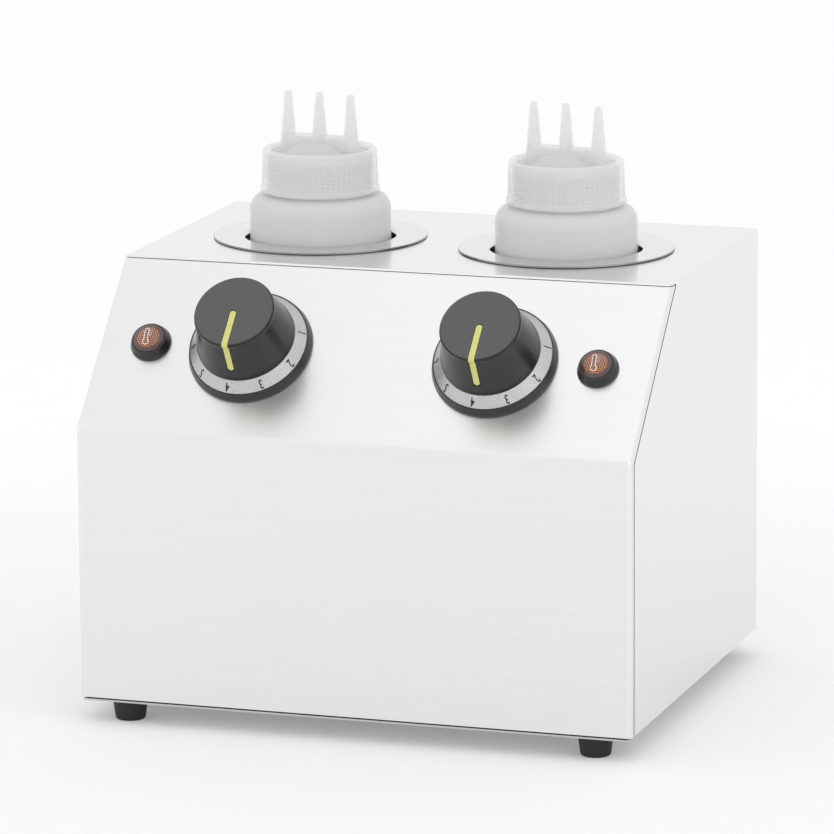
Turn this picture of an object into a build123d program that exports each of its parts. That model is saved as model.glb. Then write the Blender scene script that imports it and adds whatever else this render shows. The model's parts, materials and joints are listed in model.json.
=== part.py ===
from build123d import *
from math import atan2, cos, radians, sin, tan
import os

# Twin squeeze-bottle warmer: a stainless box on four rubber feet, with two heated wells
# that each hold one three-nozzle squeeze bottle, and a sloped panel with two thermostats.
# Millimetres, +Z up, front towards -Y. The origin is under the middle of the whole
# object, on the surface that the feet stand on.

# ---------------------------------------------------------------- driving dimensions
# casing
CASE_WIDTH = 300.0
CASE_DEPTH = 244.4
CASE_HEIGHT = 221.2
FRONT_HEIGHT = 143.8           # upright part of the front, below the slope
SLOPE_RUN = 75.5               # how far back the slope reaches at its top
SHEET = 1.0                    # casing sheet
EDGE_RADIUS = 2.2              # outside radius of the shell's bent edges
FOLD_RADIUS = 2.8              # outside radius of the fold between front and slope
PANEL_BEND = 3.0               # outside radius of the front panel's side bends
PANEL_WRAP = 4.4               # how far the front panel reaches round the sides
SEAM_GAP = 1.2                 # between the wrapped edge and the shell's side
LIP_RADIUS = 2.0               # outside radius of the top sheet's bend over the slope
LIP_DROP = 0.9                 # lower edge of that bend below the top
LIP_GAP = 0.4                  # between that edge and the front panel
RETURN_DEPTH = 12.0            # inward returns of the front panel and the casing's rear
PANEL_MARGIN = 4.0             # bare edge around the rear panel
PANEL_CORNER = 3.0
TRAY_FLANGE = 14.0
TRAY_BEND = 1.6
TRAY_LIP_SETBACK = 0.6         # front edge of the tray behind the front face
TRAY_LIP_INSET = 1.4           # lip's ends inside the casing's sides
TRAY_LIP_DEPTH = 8.0
BASE_GAP = 0.9                 # shadow gap between the casing's bottom edge and the tray

# feet
FOOT_HEIGHT = 11.4
FOOT_TOP_RADIUS = 9.4
FOOT_BOTTOM_RADIUS = 7.8
FOOT_INSET_X = 22.9
FOOT_INSET_Y = 13.5
FOOT_EDGE = 1.5
FOOT_RECESS_RADIUS = 4.6
FOOT_RECESS_DEPTH = 5.0

# wells
WELL_SPACING = 137.2
WELL_SETBACK = 156.0           # well axis behind the front face
WELL_BORE = 40.0
WELL_WALL = 0.8
WELL_DEPTH = 150.0             # top sheet's upper face down to the well's floor
WELL_FLANGE_RADIUS = 57.2
WELL_MOUTH_RADIUS = 2.2        # rolled-in edge between flange and bore
WELL_FLOOR_RADIUS = 6.0
GASKET_THICKNESS = 0.3
GASKET_WIDTH = 9.0
GASKET_SETBACK = 1.2           # gasket edge inside the flange edge
RETAINER_RADIUS = 52.0
RETAINER_HEIGHT = 9.0
RETAINER_RIM = 4.0
RETAINER_EDGE = 1.0

# heating
HEATER_THICKNESS = 2.5
HEATER_LIFT = 15.0             # above the well's floor
HEATER_GAP = 8.0
HEATER_LUG_REACH = 9.0
HEATER_LUG_THICKNESS = 2.0
HEATER_LUG_HEIGHT = 16.0
CUTOUT_RADIUS = 8.0
CUTOUT_HEIGHT = 7.0
CUTOUT_BASE_RADIUS = 11.0
CUTOUT_BASE_HEIGHT = 1.6
BULB_RADIUS = 3.0
BULB_LENGTH = 44.0
BULB_ABOVE_HEATER = 17.0
BULB_BELOW_RETAINER = 4.0
CLIP_THICKNESS = 0.8
CLIP_HEIGHT = 9.0
CLIP_TAIL = 5.0

# bottles
BOTTLE_RADIUS = 37.6
BOTTLE_WALL = 1.3
BOTTLE_SHOULDER_TOP = 23.6     # above the top sheet
BOTTLE_SHOULDER_RADIUS = 8.0
BOTTLE_BASE_RADIUS = 5.0
NECK_RADIUS = 26.8
NECK_HEIGHT = 17.8
THREAD_PITCH = 4.3
THREAD_TURNS = 4
THREAD_DEPTH = 0.9
THREAD_START = 3.0             # first thread ring above the shoulder
THREAD_RUNNING_GAP = 0.5

# caps
COLLAR_GAP = 1.6               # collar bottom above the shoulder
COLLAR_HEIGHT = 22.9
COLLAR_LIP_RADIUS = 31.9
COLLAR_LIP_HEIGHT = 2.2
COLLAR_BOTTOM_RADIUS = 31.1
COLLAR_TOP_RADIUS = 30.5
COLLAR_MOUTH_RADIUS = 26.4
COLLAR_RIM_RADIUS = 1.6
INSERT_THICKNESS = 1.8
INSERT_GAP = 0.3
PLUG_WALL = 1.2
PLUG_DEPTH = 5.0
BOSS_LENGTH = 42.0             # raised bar that joins the nozzles
BOSS_WIDTH = 11.0
BOSS_HEIGHT = 11.1
BOSS_WALL = 1.5
BOSS_EDGE = 1.2
DOME_RADIUS = 21.0             # domed middle that the bar crosses
DOME_HEIGHT = 9.4
NOZZLE_COUNT = 3
NOZZLE_SPACING = 19.0
NOZZLE_TURN = -10.0            # degrees, the nozzle row against the casing's width
NOZZLE_TOP = 77.0              # above the top sheet
NOZZLE_MIDDLE_EXTRA = 0.5
NOZZLE_BASE_RADIUS = 4.9       # at the insert's disc
NOZZLE_TIP_RADIUS = 2.0
NOZZLE_WALL = 0.9

# thermostats and knobs, on the slope
KNOB_INSET = 83.7              # knob axis inside the casing's side
KNOB_UP_SLOPE = 54.2
KNOB_SKIRT_RADIUS = 26.1
KNOB_SKIRT_BAND = 1.2
KNOB_WAIST_RADIUS = 20.8
KNOB_WAIST_HEIGHT = 32.4
KNOB_LIP_RADIUS = 21.4
KNOB_LIP_RISE = 0.5
KNOB_HEIGHT = 35.6
KNOB_EDGE = 1.6
KNOB_SKIRT_EDGE = 0.6
KNOB_GROOVE_RADIUS = 0.6
KNOB_WALL = 2.6
KNOB_HUB_RADIUS = 6.5
KNOB_RUNNING_GAP = 0.45
POINTER_WIDTH = 3.8
POINTER_DEPTH = 0.5
POINTER_TURN = 180.5           # degrees clockwise from straight up the slope
POINTER_TOP_START = -0.6
POINTER_FOOT_HEIGHT = 17.0
RIM_RADIUS = 33.1
RIM_STEP = 1.2
RIM_TOP_RADIUS = 31.8
RIM_HEIGHT = 5.2
RIM_SEAT = 3.0
RIM_BORE = 20.0
SCALE_RADIUS = 31.1
SCALE_TOP_RADIUS = 26.3
SCALE_TOP_HEIGHT = 10.2
SCALE_THICKNESS = 2.6
SHAFT_RADIUS = 3.0
SHAFT_RUNNING_GAP = 0.05
SHAFT_DEPTH = 15.0             # behind the panel's face
SHAFT_REACH = 28.0             # in front of the panel's face
BUSH_RADIUS = 5.0
BUSH_HEIGHT = 3.0
BUSH_HOLE_GAP = 0.3
THERMOSTAT_WIDTH = 42.0
THERMOSTAT_HEIGHT = 34.0
THERMOSTAT_DEPTH = 26.0
THERMOSTAT_EDGE = 2.0
THERMOSTAT_SCREW_SPACING = 28.0
CAPILLARY_RADIUS = 0.8

# pilot lamps, on the slope
LAMP_INSET = 28.6              # lamp axis inside the casing's side
LAMP_UP_SLOPE = 53.9
LAMP_BEZEL_RADIUS = 10.9
LAMP_BEZEL_TOP_RADIUS = 9.2
LAMP_BEZEL_HEIGHT = 5.0
LAMP_BEZEL_STEP = 1.0
LAMP_LENS_RADIUS = 8.1
LAMP_LENS_SIDE = 5.5
LAMP_LENS_HEIGHT = 7.4
LAMP_BODY_RADIUS = 7.4
LAMP_BODY_DEPTH = 24.0
LAMP_HOLE_GAP = 0.2
LAMP_NUT_WIDTH = 20.0
LAMP_NUT_HEIGHT = 4.0
LAMP_TAB_WIDTH = 4.8
LAMP_TAB_LENGTH = 7.0
LAMP_TAB_THICKNESS = 0.8

# fasteners
SCREW_RADIUS = 2.0
SCREW_HEAD_RADIUS = 3.8
SCREW_HEAD_HEIGHT = 2.4
SCREW_CROWN_RADIUS = 2.3
SCREW_HOLE_GAP = 0.2
SCREW_SLOT_WIDTH = 0.9
SCREW_SLOT_DEPTH = 0.8
SCREW_PROUD = 1.5              # thread past its nut
THREAD_GRIP = 0.05             # nut bore under the thread's radius, where both are one piece
NUT_RADIUS = 3.9
NUT_HEIGHT = 3.2
REAR_SCREW_LENGTH = 9.0
REAR_SCREW_INSET = 8.0
PANEL_SCREW_LENGTH = 8.0

# supply
GLAND_HEIGHT = 34.0            # gland axis above the casing's bottom edge
GLAND_BORE = 4.0
GLAND_THREAD_RADIUS = 8.0
GLAND_HOLE_GAP = 0.2
GLAND_HEX_WIDTH = 22.0
GLAND_HEX_LENGTH = 6.0
GLAND_DOME_RADIUS = 9.5
GLAND_REACH = 18.0             # behind the casing
GLAND_THREAD_LENGTH = 10.0     # inside the casing
GLAND_NUT_LENGTH = 5.0
BLOCK_WIDTH = 58.0
BLOCK_DEPTH = 22.0
BLOCK_HEIGHT = 16.0
BLOCK_SETBACK = 198.0
BLOCK_POLES = 5
BLOCK_POLE_PITCH = 10.5
BLOCK_SCREW_RADIUS = 2.6
BLOCK_SCREW_SINK = 1.5
EARTH_STUD_X = 60.0
EARTH_STUD_HEIGHT = 14.0
WIRE_RADIUS = 1.3
WIRE_STRAIGHT = 14.0           # first stretch of a wire or capillary behind a thermostat
LEAD_STRAIGHT = 20.0           # first stretch of a wire from the terminal block
HEATER_LEAD_BENDS = (0.16, 0.4)          # heights of the bends, as parts of the whole rise
THERMOSTAT_LEAD_BENDS = (0.3, 0.7)

# ventilation
VENT_LENGTH = 36.0
VENT_WIDTH = 3.0
VENT_PITCH = 9.0
VENT_ROWS = 5
VENT_COLUMNS = 2
VENT_SPACING = 130.0
REAR_VENT_HEIGHT = 150.0       # middle of the rear vents above the casing's bottom edge
TRAY_VENT_SETBACK = 95.0       # middle of the tray's vents behind the front face

# ---------------------------------------------------------------- places worked out
FRONT = -(CASE_DEPTH + GLAND_REACH) / 2
REAR = FRONT + CASE_DEPTH
TRAY_BOTTOM = FOOT_HEIGHT
TRAY_TOP = TRAY_BOTTOM + SHEET
BOTTOM = TRAY_TOP + BASE_GAP
TOP = BOTTOM + CASE_HEIGHT
FOLD = BOTTOM + FRONT_HEIGHT
HALF_WIDTH = CASE_WIDTH / 2
SHELL_REAR = REAR - SHEET      # the rear panel lies on this face

SLOPE_RISE = CASE_HEIGHT - FRONT_HEIGHT
SLOPE_TURN = atan2(SLOPE_RUN, SLOPE_RISE)      # the slope's lean back from upright

WELL_Y = FRONT + WELL_SETBACK
WELL_OUTER = WELL_BORE + WELL_WALL
WELL_FLOOR = TOP - WELL_DEPTH
FLANGE_TOP = TOP + GASKET_THICKNESS + WELL_WALL
WELL_HOLE = WELL_BORE + WELL_MOUTH_RADIUS
RETAINER_BOTTOM = TOP - SHEET - RETAINER_HEIGHT
BULB_BOTTOM = RETAINER_BOTTOM - BULB_BELOW_RETAINER - BULB_LENGTH
HEATER_BOTTOM = WELL_FLOOR + HEATER_LIFT
HEATER_TOP = BULB_BOTTOM - BULB_ABOVE_HEATER
HEATER_MIDDLE = (HEATER_BOTTOM + HEATER_TOP) / 2
HEATER_OUTER = WELL_OUTER + HEATER_THICKNESS
HEATER_LUG_FACE = HEATER_GAP / 2 + HEATER_LUG_THICKNESS

SHOULDER = TOP + BOTTLE_SHOULDER_TOP
NECK_TOP = SHOULDER + NECK_HEIGHT
COLLAR_BOTTOM = SHOULDER + COLLAR_GAP
COLLAR_TOP = COLLAR_BOTTOM + COLLAR_HEIGHT
COLLAR_BORE = NECK_RADIUS + THREAD_DEPTH + THREAD_RUNNING_GAP
INSERT_TOP = NECK_TOP + INSERT_THICKNESS

KNOB_ACROSS = HALF_WIDTH - KNOB_INSET
LAMP_ACROSS = HALF_WIDTH - LAMP_INSET

TRAY_HALF_WIDTH = HALF_WIDTH - 2 * SHEET
TRAY_FRONT = FRONT + TRAY_LIP_SETBACK
TRAY_FLANGE_FRONT = FRONT + 3 * SHEET
TRAY_REAR = SHELL_REAR - SHEET

SIDES = {"left": -1, "right": 1}
SLOPE_NORMAL = Vector(0, -cos(SLOPE_TURN), sin(SLOPE_TURN))


def slope_plane(across, up_slope):
    """Plane on the slope's face: local X across the casing, Y up the slope, Z outward."""
    at = (across, FRONT + up_slope * sin(SLOPE_TURN), FOLD + up_slope * cos(SLOPE_TURN))
    return Plane(origin=at, x_dir=(1, 0, 0), z_dir=SLOPE_NORMAL)


def rear_plane(across, height):
    """Plane on the rear panel's outer face, Z pointing backwards."""
    return Plane(origin=(across, REAR, height), x_dir=(-1, 0, 0), z_dir=(0, 1, 0))


# ---------------------------------------------------------------- helpers
def turned(*points, radii=None):
    """Solid of revolution about +Z from (radius, height) points, corners optionally round."""
    if radii:
        outline = FilletPolyline(*points, radius=radii, close=True)
    else:
        outline = Polyline(*points, close=True)
    return revolve(Plane.XZ * make_face(outline), axis=Axis.Z)


def box_between(low, high):
    size = [b - a for a, b in zip(low, high)]
    middle = [(a + b) / 2 for a, b in zip(low, high)]
    return Pos(*middle) * Box(*size)


def drilled(solid, places, radius, length):
    """Solid less a hole along each place's Z, centred on the place."""
    for place in places:
        solid -= place * Cylinder(radius, length)
    return solid


def pan_screw(length):
    """Pan-head screw, head above Z = 0 and shank below."""
    head = turned((0, 0), (SCREW_HEAD_RADIUS, 0), (SCREW_HEAD_RADIUS, SCREW_HEAD_HEIGHT / 2),
                  (SCREW_CROWN_RADIUS, SCREW_HEAD_HEIGHT), (0, SCREW_HEAD_HEIGHT))
    shank = Pos(0, 0, -length / 2) * Cylinder(SCREW_RADIUS, length)
    slot = Box(2 * SCREW_CROWN_RADIUS, SCREW_SLOT_WIDTH, 2 * SCREW_SLOT_DEPTH)
    cross = slot + Rot(0, 0, 90) * slot
    return head + shank - Pos(0, 0, SCREW_HEAD_HEIGHT) * cross


def hex_nut(width, height, bore):
    """Hexagonal nut standing on Z = 0."""
    return extrude(RegularPolygon(width / 2, 6, major_radius=False) - Circle(bore), height)


def round_wire(points, radius):
    """Tube along straight runs joined by arcs as large as the runs allow."""
    points = [Vector(*p) for p in points]
    radii = []
    for before, at, after in zip(points, points[1:], points[2:]):
        turn = radians((at - before).get_angle(after - at))
        shorter = min((at - before).length, (after - at).length)
        radii.append(0.45 * shorter / tan(turn / 2))
    path = FilletPolyline(*points, radius=radii)
    section = Plane(origin=path @ 0, z_dir=path % 0) * Circle(radius)
    return sweep(section, path=path), radii


# ---------------------------------------------------------------- casing
def front_block(half_width, inset, depth, bottom, top):
    """Block behind the front and the slope; inset and depth are inward from their faces."""
    def fold_point(d):
        return FRONT + d, FOLD - d * tan(SLOPE_TURN / 2)

    def slope_point(d, z):
        run = (z - FOLD + d * sin(SLOPE_TURN)) / cos(SLOPE_TURN)
        return FRONT + d * cos(SLOPE_TURN) + run * sin(SLOPE_TURN), z

    outline = [(FRONT + inset, bottom), fold_point(inset), slope_point(inset, top),
               slope_point(depth, top), fold_point(depth), (FRONT + depth, bottom)]
    face = make_face(Polyline(*outline, close=True))
    return extrude(Plane.YZ * face, half_width, both=True)


def front_edges(block, half_width, inset, radius, fold_radius):
    """Round the fold and the side edges of a front block."""
    fold_z = FOLD - inset * tan(SLOPE_TURN / 2)
    across = block.edges().filter_by(Axis.X)
    fold = across.sort_by(lambda e: abs(e.center().Z - fold_z) + abs(e.center().Y - FRONT - inset))[0]
    block = fillet(fold, fold_radius)
    outer_faces = [f for f in block.faces() if f.normal_at(f.center()).Y < -0.5]
    edges = [e for f in outer_faces for e in f.edges() if abs(e.center().X) > half_width - 0.01]
    return fillet(unique(edges), radius)


def unique(edges):
    kept = []
    for edge in edges:
        if not any((edge.center() - other.center()).length < 1e-4 for other in kept):
            kept.append(edge)
    return ShapeList(kept)


def panel_holes():
    """Thermostat bush, thermostat screw and lamp holes, as (plane, radius)."""
    for side in SIDES.values():
        knob = slope_plane(side * KNOB_ACROSS, KNOB_UP_SLOPE)
        yield knob, BUSH_RADIUS + BUSH_HOLE_GAP
        for end in (-1, 1):
            yield knob * Pos(end * THERMOSTAT_SCREW_SPACING / 2, 0, 0), SCREW_RADIUS + SCREW_HOLE_GAP
        yield slope_plane(side * LAMP_ACROSS, LAMP_UP_SLOPE), LAMP_BODY_RADIUS + LAMP_HOLE_GAP


def front_panel():
    """Folded front and slope, bent round the sides, with returns inside and a strip under the top."""
    top = TOP - LIP_DROP - LIP_GAP
    skin = front_block(HALF_WIDTH, 0, PANEL_WRAP, BOTTOM, top)
    skin = front_edges(skin, HALF_WIDTH, 0, PANEL_BEND, FOLD_RADIUS)
    returns = front_block(HALF_WIDTH - SHEET, SHEET, RETURN_DEPTH, BOTTOM, TOP - EDGE_RADIUS)
    inner_half = HALF_WIDTH - 2 * SHEET
    inner = front_block(inner_half, SHEET, 2 * RETURN_DEPTH, BOTTOM - SHEET, TOP)
    inner = front_edges(inner, inner_half, SHEET, PANEL_BEND - SHEET, FOLD_RADIUS - SHEET)
    strip = front_block(inner_half - SHEET, SHEET, 2 * SHEET, BOTTOM, TOP - SHEET)
    strip -= Pos(0, FRONT, TOP - RETURN_DEPTH - CASE_HEIGHT) * Box(*[2 * CASE_WIDTH] * 2, 2 * CASE_HEIGHT)
    panel = skin + returns - inner + strip
    for place, radius in panel_holes():
        panel = drilled(panel, [place], radius, 6 * SHEET)
    return panel


def shell_block(half_width, inset, bottom):
    """Casing block with every face but its bottom moved inward by inset."""
    slope_y = FRONT + SLOPE_RUN + inset * (1 / cos(SLOPE_TURN) - tan(SLOPE_TURN))
    fold_z = FOLD - inset * tan(SLOPE_TURN / 2)
    outline = [(FRONT + inset, bottom), (FRONT + inset, fold_z), (slope_y, TOP - inset),
               (SHELL_REAR - inset, TOP - inset), (SHELL_REAR - inset, bottom)]
    return extrude(Plane.YZ * make_face(Polyline(*outline, close=True)), half_width, both=True)


def shell_edges(block, inset, bottom):
    """The block's edges along the sides of its top and around its rear."""
    top_sides = [e for e in block.edges().filter_by(Axis.Y) if e.center().Z > TOP - inset - 1e-3]
    behind = [e for e in block.edges() if e.center().Y > SHELL_REAR - inset - 1e-3
              and e.center().Z > bottom + 1e-3]
    return unique(top_sides + behind)


def body_shell():
    """Top and both sides in one sheet, bent over the slope's top, with returns around the rear."""
    block = shell_block(HALF_WIDTH, 0, BOTTOM)
    front_top = block.edges().filter_by(Axis.X).group_by(Axis.Z)[-1].sort_by(Axis.Y)[0]
    block = fillet(front_top, LIP_RADIUS)
    block = fillet(shell_edges(block, 0, BOTTOM), EDGE_RADIUS)
    hollow = shell_block(HALF_WIDTH - SHEET, SHEET, BOTTOM - SHEET)
    hollow = fillet(shell_edges(hollow, SHEET, BOTTOM - SHEET), EDGE_RADIUS - SHEET)
    shell = block - hollow
    shell -= front_block(CASE_WIDTH, -SHEET, PANEL_WRAP + SEAM_GAP, BOTTOM - SHEET, TOP - LIP_DROP)

    half_opening = HALF_WIDTH - RETURN_DEPTH
    shell -= box_between((-half_opening, SHELL_REAR - 4 * SHEET, BOTTOM - SHEET),
                         (half_opening, REAR, TOP - RETURN_DEPTH))
    wells = [Pos(side * WELL_SPACING / 2, WELL_Y, TOP) for side in SIDES.values()]
    shell = drilled(shell, wells, WELL_HOLE, 6 * SHEET)
    return drilled(shell, rear_screw_places(), SCREW_RADIUS + SCREW_HOLE_GAP, 8 * SHEET)


def rear_screw_places():
    across = HALF_WIDTH - REAR_SCREW_INSET
    heights = (BOTTOM + REAR_SCREW_INSET, BOTTOM + CASE_HEIGHT / 2, TOP - REAR_SCREW_INSET)
    return [rear_plane(side * across, height) for side in SIDES.values() for height in heights]


def slot_grid():
    """Rows and columns of vent slots, centred on the plane they are put on."""
    grid = GridLocations(VENT_SPACING, VENT_PITCH, VENT_COLUMNS, VENT_ROWS)
    return [place * SlotOverall(VENT_LENGTH, VENT_WIDTH) for place in grid]


def rear_panel():
    low, high = BOTTOM + PANEL_MARGIN / 2, TOP - PANEL_MARGIN
    face = Pos(0, (low + high) / 2) * RectangleRounded(CASE_WIDTH - 2 * PANEL_MARGIN, high - low,
                                                       PANEL_CORNER)
    for slot in slot_grid():
        face -= Pos(0, BOTTOM + REAR_VENT_HEIGHT) * slot
    face -= Pos(0, BOTTOM + GLAND_HEIGHT) * Circle(GLAND_THREAD_RADIUS + GLAND_HOLE_GAP)
    panel = extrude(Plane(origin=(0, REAR, 0), x_dir=(-1, 0, 0), z_dir=(0, 1, 0)) * face, -SHEET)
    return drilled(panel, rear_screw_places(), SCREW_RADIUS + SCREW_HOLE_GAP, 4 * SHEET)


def foot_places():
    across = HALF_WIDTH - FOOT_INSET_X
    for y in (FRONT + FOOT_INSET_Y, REAR - FOOT_INSET_Y):
        for side in SIDES.values():
            yield side * across, y


def tray_block(half_width, front, rear, floor, radius):
    """Block from the tray's floor upwards, its side, rear and rear corner edges round."""
    block = box_between((-half_width, front, floor), (half_width, rear, TRAY_TOP + TRAY_FLANGE))
    corners = block.edges().filter_by(Axis.Z).group_by(Axis.Y)[-1]
    around = [e for e in block.edges().group_by(Axis.Z)[0] if e.center().Y > front + radius]
    return fillet(corners + around, radius)


def base_tray():
    """Flat base with upturned sides and rear, and a flat lip under the front panel."""
    outer = tray_block(TRAY_HALF_WIDTH, TRAY_FLANGE_FRONT, TRAY_REAR, TRAY_BOTTOM, TRAY_BEND)
    inner = tray_block(TRAY_HALF_WIDTH - SHEET, TRAY_FRONT, TRAY_REAR - SHEET, TRAY_TOP,
                       TRAY_BEND - SHEET)
    tray = outer - inner
    lip = box_between((-HALF_WIDTH + TRAY_LIP_INSET, TRAY_FRONT, TRAY_BOTTOM),
                      (HALF_WIDTH - TRAY_LIP_INSET, TRAY_FRONT + TRAY_LIP_DEPTH, TRAY_TOP))
    tray += fillet(lip.edges().filter_by(Axis.Z), TRAY_BEND)
    for slot in slot_grid():
        cutter = extrude(Pos(0, FRONT + TRAY_VENT_SETBACK) * slot, 4 * SHEET, both=True)
        tray -= Pos(0, 0, TRAY_BOTTOM) * cutter
    places = [Pos(x, y, TRAY_BOTTOM) for x, y in foot_places()]
    places.append(Pos(EARTH_STUD_X, FRONT + BLOCK_SETBACK, TRAY_BOTTOM))
    tray = drilled(tray, places, SCREW_RADIUS + SCREW_HOLE_GAP, 6 * SHEET)
    return drilled(tray, rear_screw_places(), SCREW_RADIUS + SCREW_HOLE_GAP, 8 * SHEET)


# ---------------------------------------------------------------- feet and fasteners
def rubber_foot():
    foot = turned((0, 0), (FOOT_BOTTOM_RADIUS, 0), (FOOT_TOP_RADIUS, FOOT_HEIGHT), (0, FOOT_HEIGHT),
                  radii=[0, FOOT_EDGE, 0, 0])
    foot -= Pos(0, 0, FOOT_RECESS_DEPTH / 2) * Cylinder(FOOT_RECESS_RADIUS, FOOT_RECESS_DEPTH)
    return foot - Pos(0, 0, FOOT_HEIGHT / 2) * Cylinder(SCREW_RADIUS + SCREW_HOLE_GAP, FOOT_HEIGHT)


def foot_screw():
    """Screw from the foot's recess up through the tray and its nut."""
    length = FOOT_HEIGHT - FOOT_RECESS_DEPTH + SHEET + NUT_HEIGHT + SCREW_PROUD
    return Pos(0, 0, FOOT_RECESS_DEPTH) * Rot(180, 0, 0) * pan_screw(length)


def foot_nut():
    return Pos(0, 0, TRAY_TOP) * hex_nut(2 * NUT_RADIUS, NUT_HEIGHT, SCREW_RADIUS)


def at_feet(piece):
    return Compound([Pos(x, y, 0) * piece for x, y in foot_places()])


def rear_screws():
    return Compound([place * pan_screw(REAR_SCREW_LENGTH) for place in rear_screw_places()])


def thermostat_screws():
    screws = []
    for side in SIDES.values():
        knob = slope_plane(side * KNOB_ACROSS, KNOB_UP_SLOPE)
        for end in (-1, 1):
            screws.append(knob * Pos(end * THERMOSTAT_SCREW_SPACING / 2, 0, 0)
                          * pan_screw(PANEL_SCREW_LENGTH))
    return Compound(screws)


# ---------------------------------------------------------------- wells and heating
def well():
    """Deep-drawn cup with a rolled mouth and a flat flange, seen with its axis on Z."""
    under = FLANGE_TOP - WELL_WALL
    outer = turned((0, WELL_FLOOR - WELL_WALL), (WELL_OUTER, WELL_FLOOR - WELL_WALL),
                   (WELL_OUTER, under), (WELL_FLANGE_RADIUS, under),
                   (WELL_FLANGE_RADIUS, FLANGE_TOP), (0, FLANGE_TOP),
                   radii=[0, WELL_FLOOR_RADIUS + WELL_WALL, WELL_MOUTH_RADIUS - WELL_WALL, 0,
                          WELL_WALL * 0.45, 0])
    bore = turned((0, WELL_FLOOR), (WELL_BORE, WELL_FLOOR), (WELL_BORE, FLANGE_TOP),
                  (WELL_FLANGE_RADIUS, FLANGE_TOP), (WELL_FLANGE_RADIUS, FLANGE_TOP + WELL_WALL),
                  (0, FLANGE_TOP + WELL_WALL),
                  radii=[0, WELL_FLOOR_RADIUS, WELL_MOUTH_RADIUS, 0, 0, 0])
    return outer - bore


def well_gasket():
    outer = WELL_FLANGE_RADIUS - GASKET_SETBACK
    return turned((outer - GASKET_WIDTH, TOP), (outer, TOP), (outer, TOP + GASKET_THICKNESS),
                  (outer - GASKET_WIDTH, TOP + GASKET_THICKNESS))


def well_retainer():
    """Ring pressed on the well's wall that holds the flange down on the top sheet."""
    under = TOP - SHEET
    step = under - RETAINER_HEIGHT / 2
    return turned((WELL_OUTER, under - RETAINER_HEIGHT), (RETAINER_RADIUS, under - RETAINER_HEIGHT),
                  (RETAINER_RADIUS, under), (RETAINER_RADIUS - RETAINER_RIM, under),
                  (RETAINER_RADIUS - RETAINER_RIM, step), (WELL_OUTER, step),
                  radii=[0, RETAINER_EDGE, RETAINER_EDGE / 2, 0, RETAINER_EDGE, 0])


def heater_band():
    """Band heater around the well, split at the rear, with two lugs."""
    band = turned((WELL_OUTER, HEATER_BOTTOM), (HEATER_OUTER, HEATER_BOTTOM),
                  (HEATER_OUTER, HEATER_TOP), (WELL_OUTER, HEATER_TOP))
    band -= box_between((-HEATER_GAP / 2, 0, WELL_FLOOR),
                        (HEATER_GAP / 2, HEATER_OUTER + HEATER_THICKNESS, TOP))
    low = HEATER_MIDDLE - HEATER_LUG_HEIGHT / 2
    for side in SIDES.values():
        inner, outer = sorted((side * HEATER_GAP / 2, side * HEATER_LUG_FACE))
        band += box_between((inner, WELL_OUTER + HEATER_THICKNESS / 2, low),
                            (outer, HEATER_OUTER + HEATER_LUG_REACH, low + HEATER_LUG_HEIGHT))
    hole = Pos(0, HEATER_OUTER + HEATER_LUG_REACH / 2, HEATER_MIDDLE) * Rot(0, 90, 0)
    return drilled(band, [hole], SCREW_RADIUS + SCREW_HOLE_GAP, 4 * HEATER_GAP)


def heater_clamp():
    """Clamp screw through both lugs, with its nut."""
    length = 2 * HEATER_LUG_FACE + NUT_HEIGHT + SCREW_PROUD
    screw = Pos(HEATER_LUG_FACE, 0, 0) * Rot(0, 90, 0) * pan_screw(length)
    nut = hex_nut(2 * NUT_RADIUS, NUT_HEIGHT, SCREW_RADIUS - THREAD_GRIP)
    nut = Pos(-HEATER_LUG_FACE, 0, 0) * Rot(0, -90, 0) * nut
    return Pos(0, HEATER_OUTER + HEATER_LUG_REACH / 2, HEATER_MIDDLE) * (screw + nut)


def thermal_cutout():
    """Disc cutout held against the well's underside, with two blade terminals."""
    top = WELL_FLOOR - WELL_WALL
    disc = turned((0, top), (CUTOUT_BASE_RADIUS, top), (CUTOUT_BASE_RADIUS, top - CUTOUT_BASE_HEIGHT),
                  (CUTOUT_RADIUS, top - CUTOUT_BASE_HEIGHT), (CUTOUT_RADIUS, top - CUTOUT_HEIGHT),
                  (0, top - CUTOUT_HEIGHT))
    for end in (-1, 1):
        blade = Box(LAMP_TAB_THICKNESS, LAMP_TAB_WIDTH, LAMP_TAB_LENGTH)
        disc += Pos(end * CUTOUT_RADIUS / 2, 0, top - CUTOUT_HEIGHT - LAMP_TAB_LENGTH / 2 + 0.5) * blade
    return disc


def bulb_axis(side):
    return side * WELL_SPACING / 2, WELL_Y - WELL_OUTER - BULB_RADIUS


def sensor_bulb(side):
    """Thermostat bulb on the well's wall and its capillary back to the thermostat."""
    x, y = bulb_axis(side)
    bulb = Pos(x, y, BULB_BOTTOM + BULB_LENGTH / 2) * Cylinder(BULB_RADIUS, BULB_LENGTH)
    knob_plane = slope_plane(side * KNOB_ACROSS, KNOB_UP_SLOPE)
    start = knob_plane.from_local_coords((0, 0, -THERMOSTAT_DEPTH - SHEET))
    leaving = start - SLOPE_NORMAL * WIRE_STRAIGHT
    low = HEATER_TOP + 3 * CAPILLARY_RADIUS
    route = [start, leaving, Vector(x, (leaving.Y + y) / 2, low), Vector(x, y, low),
             Vector(x, y, BULB_BOTTOM)]
    tube, radii = round_wire(route, CAPILLARY_RADIUS)
    print("capillary radii", [round(r, 1) for r in radii])
    return bulb + tube


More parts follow.
